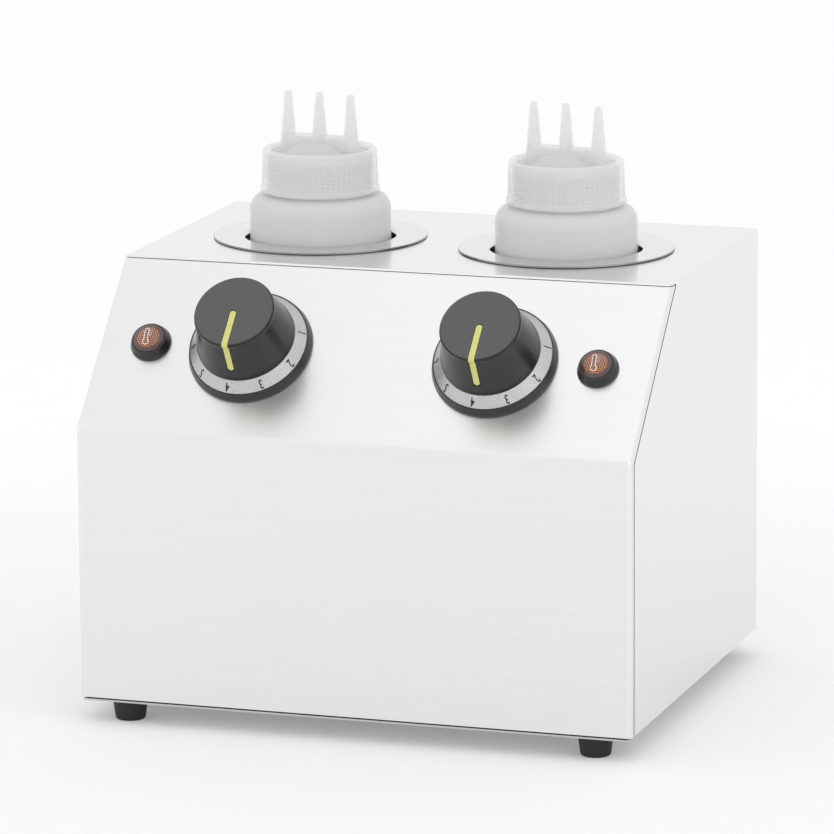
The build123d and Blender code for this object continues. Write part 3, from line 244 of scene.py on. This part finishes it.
def knob_plastic(name, joint):
    """Black moulding: polished flanks, a grained top painted lighter as painted light from above,
    and painted shade on the edge of the top and on the foot in the gap to the dial.
    """
    material, tree, output = new_material(name)
    at = object_coordinates(tree)
    local = add_node(tree, "ShaderNodeVectorMath", {0: at, 1: joint["pos_m"]},
                     operation="SUBTRACT").outputs[0]
    height = add_node(tree, "ShaderNodeVectorMath",
                      {0: local, 1: Vector(joint["axis"]).normalized()},
                      operation="DOT_PRODUCT").outputs["Value"]
    top = remap(tree, height, 0.0, 1.0, KNOB_TOP - 0.3 * MM, KNOB_TOP - 0.05 * MM)
    # the foot in the gap to the dial is darkened: painted shade
    flank = remap(tree, height, 0.0, 1.0, KNOB_SKIRT[1] + 0.3 * MM, KNOB_SKIRT[1] + 1.8 * MM)
    grain = noise(tree, at, 1600.0, 3.0, 0.7)
    # the edge of the top is darkened: painted shade
    lip = combine(tree, "SUBTRACT",
                  remap(tree, height, 0.0, 1.0, KNOB_TOP - 2.4 * MM, KNOB_TOP - 1.7 * MM), top)
    unshaded_flank = combine(tree, "MULTIPLY", flank, combine(tree, "SUBTRACT", 1.0, lip))
    dark = blend_colours(tree, unshaded_flank, rgb(KNOB_LIP_AND_FOOT_SHADE_TONE), rgb(KNOB_FLANK_TONE))
    # the top's grain is real, its lighter tone is painted light
    grained = blend_colours(tree, grain, rgb(KNOB_TOP_PAINTED_LIGHT_TONE * 0.6), rgb(KNOB_TOP_PAINTED_LIGHT_TONE * 1.4))
    principled(tree, output, base_color=blend_colours(tree, top, dark, grained),
               roughness=remap(tree, top, 0.27, 0.48),
               normal=bump(tree, grain, 0.25, 0.00004))
    return material


def milky_plastic(name, colour, clear, through, rough):
    """Natural polyethylene: it scatters most light, passes some and stays partly clear."""
    material, tree, output = new_material(name)
    at = object_coordinates(tree)
    clouds = noise(tree, at, 45.0, 2.0)
    ripple = noise(tree, at, 180.0, 2.0)
    shade = blend_colours(tree, clouds, rgb(tuple(c * 0.985 for c in colour)), rgb(colour))
    normal = bump(tree, ripple, 0.08, 0.0002)
    skin = add_node(tree, "ShaderNodeBsdfPrincipled", {
        "Base Color": shade, "Roughness": remap(tree, clouds, rough - 0.03, rough + 0.04),
        "IOR": 1.51, "Normal": normal})
    glow = add_node(tree, "ShaderNodeBsdfTranslucent", {"Color": shade, "Normal": normal})
    milk = add_node(tree, "ShaderNodeMixShader",
                    {0: through, 1: skin.outputs[0], 2: glow.outputs[0]})
    gap = add_node(tree, "ShaderNodeBsdfTransparent", {"Color": rgb(0.98)})
    mixed = add_node(tree, "ShaderNodeMixShader", {0: clear, 1: milk.outputs[0], 2: gap.outputs[0]})
    tree.links.new(mixed.outputs[0], output.inputs["Surface"])
    return material


def amber_lens(name):
    """Smoked band round an amber middle whose bump tops carry a painted highlight, paler towards
    the top of the lens as a painted reflection, with painted shade between its bumps, in the lens's
    own axes.
    """
    material, tree, output = new_material(name)
    at = object_coordinates(tree)
    split = add_node(tree, "ShaderNodeSeparateXYZ", {0: at}).outputs
    rows = combine(tree, "DIVIDE", split["Y"], FACET_PITCH * sqrt(3) / 2)
    across = combine(tree, "DIVIDE", split["X"], FACET_PITCH)
    half = combine(tree, "MULTIPLY", rows, 0.5)
    waves = [combine(tree, "COSINE", combine(tree, "MULTIPLY", phase, tau), 0.0)
             for phase in (combine(tree, "SUBTRACT", across, half),
                           combine(tree, "ADD", across, half), rows)]
    bumps = combine(tree, "ADD", combine(tree, "ADD", waves[0], waves[1]), waves[2])
    flat = add_node(tree, "ShaderNodeVectorMath", {0: at, 1: (1, 1, 0)},
                    operation="MULTIPLY").outputs[0]
    radius = add_node(tree, "ShaderNodeVectorMath", {0: flat}, operation="LENGTH").outputs["Value"]
    # bump tops: amber lightened as painted highlight, paler towards the top of the lens as painted
    # reflection
    bump_top_painted_highlight = blend_colours(tree, remap(tree, split["Y"], 0.0, 1.0, -0.006, 0.002),
                            rgb(LENS_AMBER_AND_HIGHLIGHT_ORANGE), rgb(LENS_PAINTED_REFLECTION_PALE))
    # dark between the bumps: painted shade
    middle = blend_colours(tree, remap(tree, bumps, 0.0, 1.0, -0.9, 1.6), rgb(LENS_PAINTED_SHADE_BETWEEN_BUMPS),
                           bump_top_painted_highlight)
    band = remap(tree, radius, 0.0, 1.0, LENS_BAND - 0.3 * MM, LENS_BAND + 0.3 * MM)
    shade = blend_colours(tree, band, middle, rgb(LENS_SMOKED))
    principled(tree, output, base_color=shade, roughness=0.22, coat_weight=0.7, coat_roughness=0.08)
    return material


def dress(node, material):
    data = frame["nodes"][node].data
    data.materials.clear()
    data.materials.append(material)


def well_place(name):
    """Centre of a well and the radius of its flange."""
    low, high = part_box("well_" + name)
    return (low + high) / 2, (high.x - low.x) / 2


def dress_cad_nodes():
    """Every CAD node that stays in view takes its finish here. Returns the finishes by name."""
    shell_steel = brushed_steel("shell_steel", (0, 1, 0), (5, 1400, 5), tone=0.84, rough=0.22,
                                streak=0.012,
                                cut_edges=side_cut_edges)
    panel_steel = brushed_steel("panel_steel", (0, 1, 1), (5, 5, 1400))
    tray_steel = plain_metal("tray_steel", 0.6, 0.42)
    zinc = plain_metal("zinc_plate", 0.68, 0.3)
    rubber = moulded("foot_rubber", (0.012, 0.012, 0.013), 0.6, grain=0.00008)
    black = moulded("black_moulding", (0.022, 0.022, 0.023), 0.30)
    lamp_black = moulded("lamp_moulding", (0.02, 0.02, 0.021), 0.28)
    phenolic = moulded("phenolic", (0.05, 0.042, 0.038), 0.3)
    nylon = moulded("natural_nylon", (0.8, 0.79, 0.74), 0.5)
    ceramic = moulded("terminal_ceramic", (0.84, 0.82, 0.76), 0.25)
    gland = moulded("gland_nylon", (0.03, 0.03, 0.032), 0.5)
    sleeve = moulded("silicone_sleeve", (0.45, 0.10, 0.06), 0.5)
    mica = moulded("mica_band", (0.5, 0.46, 0.37), 0.45)
    silver = plain_metal("dial_silver", 0.74, 0.44, grain=1500.0, dark=0.5)
    yellow = moulded("pointer_yellow", (0.74, 0.72, 0.24), 0.5)
    amber = amber_lens("lamp_amber")
    bottle = milky_plastic("bottle_plastic", (0.975, 0.98, 0.98), 0.25, 0.32, 0.22)
    cap = milky_plastic("cap_plastic", (0.99, 0.99, 0.99), 0.52, 0.22, 0.20)
    copper = plain_metal("copper_tube", 0.7, 0.3, (0.75, 0.42, 0.28))
    finishes = {
        "body_shell": shell_steel, "front_panel": panel_steel, "rear_panel": panel_steel,
        "base_tray": tray_steel, "rubber_feet": rubber, "foot_screws": zinc, "foot_nuts": zinc,
        "rear_screws": zinc, "thermostat_screws": zinc, "terminal_block": ceramic,
        "terminal_screws": zinc, "earth_stud": zinc, "cable_gland": gland, "gland_nut": gland,
        "heater_leads": sleeve, "thermostat_leads": sleeve,
    }
    for name in SIDES:
        well_steel = turned_steel("well_steel_" + name, *well_place(name))
        finishes.update({
            "well_" + name: well_steel, "well_gasket_" + name: rubber,
            "well_retainer_" + name: tray_steel, "heater_band_" + name: mica,
            "heater_clamp_" + name: zinc, "thermal_cutout_" + name: phenolic,
            "thermostat_body_" + name: phenolic, "thermostat_shaft_" + name: zinc,
            "dial_rim_" + name: black, "dial_scale_" + name: silver,
            "knob_" + name: knob_plastic("knob_black_" + name, JOINTS["knob_turn_" + name]),
            "knob_pointer_" + name: yellow, "lamp_bezel_" + name: lamp_black,
            "lamp_body_" + name: nylon,
            "lamp_nut_" + name: nylon, "lamp_lens_" + name: amber, "sensor_bulb_" + name: copper,
            "bulb_clip_" + name: tray_steel, "bottle_" + name: bottle, "collar_" + name: cap,
            "nozzle_insert_" + name: cap,
        })
    for node, material in finishes.items():
        dress(node, material)
    ink = moulded("number_ink", (0.008, 0.008, 0.008), 0.5)
    symbol = moulded("symbol_white", (0.92, 0.80, 0.78), 0.4)
    return {"cap": cap, "amber": amber, "yellow": yellow, "ink": ink, "symbol": symbol}


# ---------------------------------------------------------------- mesh helpers
def add_piece(name, vertices, faces, material, body, place=Matrix(), smooth=True):
    """Mesh object at a place in the row frame that rides on a CAD body."""
    mesh = bpy.data.meshes.new(name)
    mesh.from_pydata([tuple(v) for v in vertices], [], faces)
    mesh.polygons.foreach_set("use_smooth", [smooth] * len(mesh.polygons))
    mesh.materials.append(material)
    mesh.validate()
    mesh.update()
    piece = bpy.data.objects.new(name, mesh)
    bpy.context.scene.collection.objects.link(piece)
    piece.matrix_world = place
    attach(piece, body)
    return piece


def grid_faces(rows, columns, closed_rows=False, closed_columns=False):
    """Quads of a grid stored row by row."""
    faces = []
    for i in range(rows if closed_rows else rows - 1):
        for j in range(columns if closed_columns else columns - 1):
            a, b = i * columns + j, i * columns + (j + 1) % columns
            c, d = (i + 1) % rows * columns + (j + 1) % columns, (i + 1) % rows * columns + j
            faces.append((a, b, c, d))
    return faces


def arc(centre, radius, start, end, steps):
    """Points on an arc in (radius, height), angles in degrees."""
    return [(centre[0] + radius * cos(radians(start + (end - start) * i / steps)),
             centre[1] + radius * sin(radians(start + (end - start) * i / steps)))
            for i in range(steps + 1)]


def line(start, end, steps):
    return [(start[0] + (end[0] - start[0]) * i / steps, start[1] + (end[1] - start[1]) * i / steps)
            for i in range(steps + 1)]


def smoothstep(value, low, high):
    t = min(1.0, max(0.0, (value - low) / (high - low)))
    return t * t * (3 - 2 * t)


def axis_frame(joint):
    """Row-frame matrix: origin on the joint's point, Z along its axis, X across the casing."""
    z = Vector(joint["axis"]).normalized()
    x = Vector((1, 0, 0))
    y = z.cross(x)
    return Matrix.Translation(Vector(joint["pos_m"])) @ Matrix((x, y, z)).transposed().to_4x4()


def local_box(node, place):
    """Corners of a CAD node's box along a place's own axes."""
    inverse = place.inverted()
    points = [inverse @ vertex.co for vertex in frame["nodes"][node].data.vertices]
    low = Vector([min(p[k] for p in points) for k in range(3)])
    return low, Vector([max(p[k] for p in points) for k in range(3)])


# ---------------------------------------------------------------- screw collars
RIB_COUNT = 64
RIB_DEPTH = 0.26 * MM
RING_PITCH = 1.38 * MM           # fine rings moulded across the ribs
RING_DEPTH = 0.20 * MM
RING_TOP_GAP = 8.5 * MM
RIB_TOP_GAP = 5.5 * MM           # smooth band above the ribs
COLLAR_LIP_HEIGHT = 2.2 * MM
COLLAR_LIP_OUT = 0.8 * MM        # lip past the skirt
COLLAR_TAPER = 0.6 * MM
COLLAR_ROUND = 1.9 * MM
COLLAR_MOUTH_RADIUS = 26.4 * MM
COLLAR_BORE = 28.2 * MM
COLLAR_ROOF = 3.5 * MM           # thickness of the inward rim
THREAD_PITCH = 4.3 * MM
THREAD_OUT = 0.42 * MM           # inner thread's height off the bore


def ribbed_collar(name, material):
    """Screw collar with a ribbed skirt, a flared lip, a rolled rim and a thread inside."""
    joint = JOINTS["collar_unscrew_" + name]
    low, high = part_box("collar_" + name)
    height = high.z - low.z
    lip = (high.x - low.x) / 2
    skirt, top = lip - COLLAR_LIP_OUT, lip - COLLAR_LIP_OUT - COLLAR_TAPER
    edge = 0.5 * MM
    outline = line((COLLAR_BORE + edge, 0), (lip - edge, 0), 2)
    outline += arc((lip - edge, edge), edge, -90, 0, 4)[1:]
    outline += arc((lip - edge, COLLAR_LIP_HEIGHT - edge), edge, 0, 70, 4)
    rib_low = COLLAR_LIP_HEIGHT + 0.35 * MM
    outline += line((skirt, rib_low), (top, height - COLLAR_ROUND), 110)
    outline += arc((top - COLLAR_ROUND, height - COLLAR_ROUND), COLLAR_ROUND, 0, 90, 8)[1:]
    round_in = COLLAR_ROUND * 0.7
    outline += arc((COLLAR_MOUTH_RADIUS + round_in, height - round_in), round_in, 90, 180, 6)
    outline += line((COLLAR_MOUTH_RADIUS, height - COLLAR_ROOF),
                    (COLLAR_BORE, height - COLLAR_ROOF), 2)
    inner = line((COLLAR_BORE, height - COLLAR_ROOF), (COLLAR_BORE, edge), 72)[1:]
    outline += inner
    columns = RIB_COUNT * 6
    vertices = []
    for index, (radius, z) in enumerate(outline):
        is_outer = rib_low <= z and radius > top - 0.01 * MM and index < len(outline) - len(inner)
        ribbed = (smoothstep(z, rib_low, rib_low + 0.6 * MM)
                  * (1 - smoothstep(z, height - RIB_TOP_GAP - 1.5 * MM,
                                    height - RIB_TOP_GAP))) if is_outer else 0
        ringed = is_outer and z < height - RING_TOP_GAP
        threaded = index >= len(outline) - len(inner) and 2 * MM < z < height - COLLAR_ROOF - 1 * MM
        for column in range(columns):
            turn = tau * column / columns
            r = radius - RIB_DEPTH * ribbed * (0.5 - 0.5 * cos(RIB_COUNT * turn)) ** 2
            if ringed:
                r -= RING_DEPTH * (0.5 - 0.5 * cos(tau * (z - rib_low) / RING_PITCH))
            if threaded:
                phase = (z / THREAD_PITCH + turn / tau) % 1.0
                r -= THREAD_OUT * max(0.0, cos(tau * (phase - 0.5))) ** 1.5
            vertices.append((r * cos(turn), r * sin(turn), z))
    faces = grid_faces(len(outline), columns, closed_rows=True, closed_columns=True)
    collar = add_piece("ribbed_collar_" + name, vertices, faces, material, "collar_" + name,
                       Matrix.Translation(Vector(joint["pos_m"])))
    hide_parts("collar_" + name)
    return collar


# ---------------------------------------------------------------- dial numbers
NUMBER_HEIGHT = 5.0 * MM
NUMBER_OUT = 0.55 * MM            # outward from the middle of the bevel
NUMBER_WIDTH = 0.68              # of the font's own width
NUMBER_RAISE = 0.03 * MM
NUMBER_TURNS = (76.0, 114.5, 152.0, 188.0, 223.5, 259.5)     # clockwise from straight up the slope
SCALE_FOOT = (31.1 * MM, 5.2 * MM)       # bevel of the silver ring, (radius, height)
SCALE_HEAD = (26.3 * MM, 10.2 * MM)


def text_outline(text):
    """Flat mesh of a text one unit high, centred on its middle, as (vertices, faces)."""
    curve = bpy.data.curves.new("number", "FONT")
    curve.body = text
    curve.align_x, curve.align_y = "CENTER", "CENTER"
    curve.offset = 0.018
    curve.resolution_u = 5
    holder = bpy.data.objects.new("number", curve)
    bpy.context.scene.collection.objects.link(holder)
    bpy.context.view_layer.update()
    mesh = holder.to_mesh()
    vertices = [v.co.copy() for v in mesh.vertices]
    faces = [tuple(p.vertices) for p in mesh.polygons]
    holder.to_mesh_clear()
    bpy.data.objects.remove(holder)
    bpy.data.curves.remove(curve)
    low, high = min(v.y for v in vertices), max(v.y for v in vertices)
    middle = (min(v.x for v in vertices) + max(v.x for v in vertices)) / 2
    return [Vector(((v.x - middle), v.y - (low + high) / 2,
                    0)) / (high - low) for v in vertices], faces


def dial_numbers(name, material):
    """Numbers printed on the ring's bevel, their tops outward."""
    place = axis_frame(JOINTS["knob_turn_" + name])
    slant = Vector((SCALE_FOOT[0] - SCALE_HEAD[0], SCALE_FOOT[1] - SCALE_HEAD[1]))
    length = slant.length
    slant /= length
    vertices, faces = [], []
    for index, turn in enumerate(NUMBER_TURNS):
        outline, quads = text_outline(str(index + 1))
        start = len(vertices)
        for point in outline:
            along = length / 2 + NUMBER_OUT + point.y * NUMBER_HEIGHT
            radius = SCALE_HEAD[0] + slant.x * along - slant.y * NUMBER_RAISE
            height = SCALE_HEAD[1] + slant.y * along + slant.x * NUMBER_RAISE
            angle = radians(90 - turn) - point.x * NUMBER_HEIGHT * NUMBER_WIDTH / radius
            vertices.append((radius * cos(angle), radius * sin(angle), height))
        faces += [tuple(start + v for v in quad) for quad in quads]
    return add_piece("dial_numbers_" + name, vertices, faces, material, "housing", place,
                     smooth=False)


# ---------------------------------------------------------------- pointers
POINTER_TURN = 180.5             # clockwise from straight up the slope
POINTER_HALF_WIDTH = 1.62 * MM
POINTER_START = -0.2 * MM        # past the knob's middle
POINTER_FOOT = 17.3 * MM
POINTER_SINK = 0.06 * MM


def pointer(name, material):
    """Pale inlay in the knob's groove: over the top, round the lip and down the flank."""
    place = axis_frame(JOINTS["knob_turn_" + name])
    steps = 14
    meridian = line((POINTER_START, KNOB_TOP), (KNOB_LIP - KNOB_EDGE, KNOB_TOP), 40)
    meridian += arc((KNOB_LIP - KNOB_EDGE, KNOB_TOP - KNOB_EDGE), KNOB_EDGE, 90, 0, 10)[1:]
    meridian += line((KNOB_LIP, KNOB_WAIST[1] + 0.7 * MM), KNOB_WAIST, 3)[0:]
    share = (KNOB_WAIST[1] - POINTER_FOOT) / (KNOB_WAIST[1] - KNOB_SKIRT[1])
    foot = (KNOB_WAIST[0] + (KNOB_SKIRT[0] - KNOB_WAIST[0]) * share, POINTER_FOOT)
    meridian += line(KNOB_WAIST, foot, 30)[1:]
    run = [0.0]
    for (r0, z0), (r1, z1) in zip(meridian, meridian[1:]):
        run.append(run[-1] + hypot(r1 - r0, z1 - z0))
    vertices = []
    for (radius, z), distance in zip(meridian, run):
        from_end = max(1e-6, min(distance, run[-1] - distance, POINTER_HALF_WIDTH))
        half = sqrt(max(0.0, POINTER_HALF_WIDTH ** 2 - (POINTER_HALF_WIDTH - from_end) ** 2))
        for i in range(steps + 1):
            w = half * (2 * i / steps - 1)
            sunk = radius - (POINTER_SINK if z < KNOB_TOP - KNOB_EDGE / 2 else 0)
            if radius > 4 * POINTER_HALF_WIDTH:
                ahead = sqrt(sunk ** 2 - w ** 2)
            else:
                ahead = sunk
            height = z - (POINTER_SINK if z > KNOB_TOP - KNOB_EDGE else 0)
            vertices.append((w, ahead, height))
    turn = Matrix.Rotation(radians(-POINTER_TURN), 4, "Z")
    piece = add_piece("pointer_inlay_" + name, vertices, grid_faces(len(meridian), steps + 1),
                      material,
                      "knob_" + name, place @ turn)
    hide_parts("knob_pointer_" + name)
    return piece


# ---------------------------------------------------------------- pilot lamps
LENS_CROWN = 1.9 * MM
FACET_HEIGHT = 0.26 * MM


def lamp_frame(name):
    """Row-frame matrix on the slope's face at the lamp's axis."""
    slope = axis_frame(JOINTS["knob_turn_" + name])
    low, high = local_box("lamp_bezel_" + name, slope)
    return slope @ Matrix.Translation(((low.x + high.x) / 2, (low.y + high.y) / 2, 0))


def lens_height(x, y, radius, side, crown):
    """Crown of the lens with small round bumps in a hexagonal pattern on its middle."""
    r = hypot(x, y)
    dome = side + crown * (1 - (r / radius) ** 2)
    rows = y / (FACET_PITCH * sqrt(3) / 2)
    bumps = (cos(tau * (x / FACET_PITCH - rows / 2)) + cos(tau * (x / FACET_PITCH + rows / 2))
             + cos(tau * rows)) / 3
    middle = 1 - smoothstep(r, LENS_BAND - 0.4 * MM, LENS_BAND)
    groove = 0.25 * MM * (1 - smoothstep(abs(r - LENS_BAND), 0, 0.35 * MM))
    return dome - FACET_HEIGHT * middle * (0.5 - 0.5 * bumps) - groove


def faceted_lens(name, material):
    """Dimpled amber lens with a smooth rim, closed by its side and underside."""
    place = lamp_frame(name)
    low, high = local_box("lamp_lens_" + name, place)
    radius = (high.x - low.x) / 2
    side, crown = high.z - LENS_CROWN, LENS_CROWN
    rings, columns = 44, 132
    vertices = []
    for ring in range(1, rings + 1):
        r = radius * ring / rings
        for column in range(columns):
            x, y = r * cos(tau * column / columns), r * sin(tau * column / columns)
            vertices.append((x, y, lens_height(x, y, radius, side, crown)))
    for column in range(columns):
        vertices.append((radius * cos(tau * column / columns), radius * sin(tau * column / columns),
                         low.z))
    faces = grid_faces(rings + 1, columns, closed_columns=True)
    middle, bottom = len(vertices), len(vertices) + 1
    vertices += [(0, 0, lens_height(0, 0, radius, side, crown)), (0, 0, low.z)]
    faces += [(middle, column, (column + 1) % columns) for column in range(columns)]
    last = rings * columns
    faces += [(bottom, last + (column + 1) % columns, last + column) for column in range(columns)]
    lens = add_piece("faceted_lens_" + name, vertices, faces, material, "housing", place)
    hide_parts("lamp_lens_" + name)
    return lens


# thermometer sign, in lens coordinates
BULB_AT = (-0.42 * MM, -3.3 * MM)
BULB_RADIUS = 1.55 * MM
STEM_HALF = 1.0 * MM
STEM_TOP = 5.1 * MM
SIGN_LEAN = 0.10                 # sideways per height
SIGN_LINE = 0.52 * MM
SIGN_RAISE = 0.08 * MM


def leaned(point):
    return point[0] - SIGN_LEAN * (point[1] - BULB_AT[1]), point[1]


def thermometer_line():
    """Closed centreline of the sign: round bulb, two stem lines and a round top."""
    opening = atan2(sqrt(BULB_RADIUS ** 2 - STEM_HALF ** 2), STEM_HALF)
    points, start = [], (BULB_AT[0] + STEM_HALF,
                         BULB_AT[1] + sqrt(BULB_RADIUS ** 2 - STEM_HALF ** 2))
    stem_end = STEM_TOP - STEM_HALF
    for i in range(25):
        turn = pi - opening + (pi + 2 * opening) * i / 24
        points.append((BULB_AT[0] + BULB_RADIUS * cos(turn), BULB_AT[1] + BULB_RADIUS * sin(turn)))
    points += line(start, (start[0], stem_end), 16)[1:-1]
    for i in range(13):
        turn = pi * i / 12
        points.append((BULB_AT[0] + STEM_HALF * cos(turn),
                       STEM_TOP - STEM_HALF + STEM_HALF * sin(turn)))
    points += line((BULB_AT[0] - STEM_HALF, stem_end), (BULB_AT[0] - STEM_HALF, start[1]), 16)[1:-1]
    return [leaned(point) for point in points]


def ribbon(points, width, closed, height):
    """Flat ribbon along a line, its height given by a function of place."""
    vertices, count = [], len(points)
    for i, (x, y) in enumerate(points):
        before = points[(i - 1) % count] if closed or i else points[i]
        after = points[(i + 1) % count] if closed or i < count - 1 else points[i]
        along = Vector((after[0] - before[0], after[1] - before[1])).normalized()
        for end in (-1, 1):
            px, py = x - along.y * width / 2 * end, y + along.x * width / 2 * end
            vertices.append((px, py, height(px, py)))
    return vertices, grid_faces(count, 2, closed_rows=closed)


def lamp_sign(name, material):
    """Thermometer outline with three short marks beside its stem."""
    place = lamp_frame(name)
    low, high = local_box("lamp_lens_" + name, place)
    radius = (high.x - low.x) / 2

    def height(x, y):
        return high.z + SIGN_RAISE - LENS_CROWN * hypot(x, y) ** 2 / radius ** 2

    vertices, faces = ribbon(thermometer_line(), SIGN_LINE, True, height)
    for mark in range(3):
        y = 0.6 * MM + mark * 1.3 * MM
        start = leaned((BULB_AT[0] + STEM_HALF + 0.6 * MM, y))
        more, quads = ribbon([start, (start[0] + 1.2 * MM, y)], SIGN_LINE * 0.7, False, height)
        faces += [tuple(len(vertices) + v for v in quad) for quad in quads]
        vertices += more
    return add_piece("lamp_sign_" + name, vertices, faces, material, "housing", place, smooth=False)


# ---------------------------------------------------------------- studio
CAMERA_YAW = radians(18.348)       # to the right of the object's front
CAMERA_PITCH = radians(12.125)     # downwards
CAMERA_ROLL = radians(0.418)
CAMERA_DISTANCE = 3.177
# how far the object's front bottom edge lies right of and below centre
CAMERA_FRAME = (0.0336, 0.1548)
LENS_PIXELS = 6165.7               # focal length for a frame 834 pixels wide
FRAME_PIXELS = 834
SENSOR_WIDTH = 36.0


def add_camera():
    forward = Vector((-sin(CAMERA_YAW) * cos(CAMERA_PITCH), cos(CAMERA_YAW) * cos(CAMERA_PITCH),
                      -sin(CAMERA_PITCH)))
    level = Vector((cos(CAMERA_YAW), sin(CAMERA_YAW), 0))
    down = forward.cross(level)
    right = level * cos(CAMERA_ROLL) + down * sin(CAMERA_ROLL)
    down = -level * sin(CAMERA_ROLL) + down * cos(CAMERA_ROLL)
    data = bpy.data.cameras.new("camera")
    data.lens = LENS_PIXELS / FRAME_PIXELS * SENSOR_WIDTH
    data.sensor_width = SENSOR_WIDTH
    data.clip_end = 50
    camera = bpy.data.objects.new("camera", data)
    bpy.context.scene.collection.objects.link(camera)
    aim = Vector((0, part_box("front_panel")[0].y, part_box("body_shell")[0].z))
    place = aim + right * CAMERA_FRAME[0] - down * CAMERA_FRAME[1] - forward * CAMERA_DISTANCE
    axes = Matrix((right, -down, -forward)).transposed().to_4x4()
    camera.matrix_world = Matrix.Translation(place) @ axes
    bpy.context.scene.camera = camera


def add_area_light(name, place, aim, size, power, spread=pi):
    data = bpy.data.lights.new(name, "AREA")
    data.shape = "RECTANGLE"
    data.size, data.size_y = size
    data.energy = power
    data.spread = spread
    light = bpy.data.objects.new(name, data)
    bpy.context.scene.collection.objects.link(light)
    light.location = place
    light.rotation_euler = (Vector(aim) - Vector(place)).to_track_quat("-Z", "Y").to_euler()
    return light


HORIZON_TONE = 0.95
ZENITH_TONE = 0.85


def sees_background(tree):
    """1 for the rays that show the background, straight, mirrored or through plastic."""
    path = add_node(tree, "ShaderNodeLightPath").outputs
    seen = combine(tree, "MAXIMUM", path["Is Camera Ray"], path["Is Glossy Ray"])
    return combine(tree, "MAXIMUM", seen, path["Is Transmission Ray"])


def add_world():
    """Plain pale surroundings, white where the camera, the steel or the plastic shows them."""
    world = bpy.data.worlds.new("studio")
    bpy.context.scene.world = world
    world.use_nodes = True
    tree = world.node_tree
    tree.nodes.clear()
    direction = add_node(tree, "ShaderNodeTexCoord").outputs["Generated"]
    height = add_node(tree, "ShaderNodeSeparateXYZ", {0: direction}).outputs["Z"]
    tone = remap(tree, height, HORIZON_TONE, ZENITH_TONE)
    soft = add_node(tree, "ShaderNodeBackground", {"Color": rgb(1.0), "Strength": tone})
    white = add_node(tree, "ShaderNodeBackground", {"Color": rgb(1.0), "Strength": 1.0})
    seen = sees_background(tree)
    mixed = add_node(tree, "ShaderNodeMixShader",
                     {0: seen, 1: soft.outputs[0], 2: white.outputs[0]})
    output = add_node(tree, "ShaderNodeOutputWorld")
    tree.links.new(mixed.outputs[0], output.inputs["Surface"])


FLOOR_HALF = 6.0                   # half the side of the square floor
FLOOR_TONES = (0.84, 0.86)         # its faint mottling
FLOOR_GLOW_WITH_PAINTED_SHADE = (0.17, 0.22)          # near the object, dimmer there as painted shade, and away from it
FLOOR_GLOW_ENDS = (0.30, 0.70)     # how far from the middle these hold


def add_floor():
    """Pale floor that keeps the object's shadow and shows white around it, its glow dimmed near the
    object as painted shade.
    """
    size = FLOOR_HALF
    mesh = bpy.data.meshes.new("floor")
    corners = [(-size, -size, 0), (size, -size, 0), (size, size, 0), (-size, size, 0)]
    mesh.from_pydata(corners, [], [(0, 1, 2, 3)])
    floor = bpy.data.objects.new("floor", mesh)
    bpy.context.scene.collection.objects.link(floor)
    material, tree, output = new_material("floor")
    at = object_coordinates(tree)
    grain = noise(tree, at, 40.0)
    shade = blend_colours(tree, grain, rgb(FLOOR_TONES[0]), rgb(FLOOR_TONES[1]))
    matt = add_node(tree, "ShaderNodeBsdfDiffuse", {"Color": shade})
    away = add_node(tree, "ShaderNodeVectorMath", {0: at}, operation="LENGTH").outputs["Value"]
    # the glow is dimmer near the object: painted shade round it
    strength = remap(tree, away, *FLOOR_GLOW_WITH_PAINTED_SHADE, *FLOOR_GLOW_ENDS)
    glow = add_node(tree, "ShaderNodeEmission", {"Color": rgb(1.0), "Strength": strength})
    seen = sees_background(tree)
    both = add_node(tree, "ShaderNodeAddShader", {0: matt.outputs[0], 1: glow.outputs[0]})
    mixed = add_node(tree, "ShaderNodeMixShader", {0: seen, 1: matt.outputs[0], 2: both.outputs[0]})
    tree.links.new(mixed.outputs[0], output.inputs["Surface"])
    mesh.materials.append(material)


def add_lights():
    add_area_light("overhead", (0.25, -0.35, 1.5), (0.1, 0, 0.1), (1.5, 1.1), 0.8)
    add_area_light("right_softbox", (1.5, -0.9, 0.8), (0, 0, 0.2), (1.6, 1.5), 2.2)
    add_area_light("left_softbox", (-1.4, -0.9, 0.7), (0, 0, 0.15), (1.5, 1.4), 1.0)


def set_view():
    bpy.context.scene.view_settings.view_transform = "Standard"


# ---------------------------------------------------------------- the scene
add_camera()
add_world()
add_floor()
add_lights()
set_view()
finishes = dress_cad_nodes()
for side_name in SIDES:
    ribbed_collar(side_name, finishes["cap"])
    dial_numbers(side_name, finishes["ink"])
    pointer(side_name, finishes["yellow"])
    faceted_lens(side_name, finishes["amber"])
    lamp_sign(side_name, finishes["symbol"])
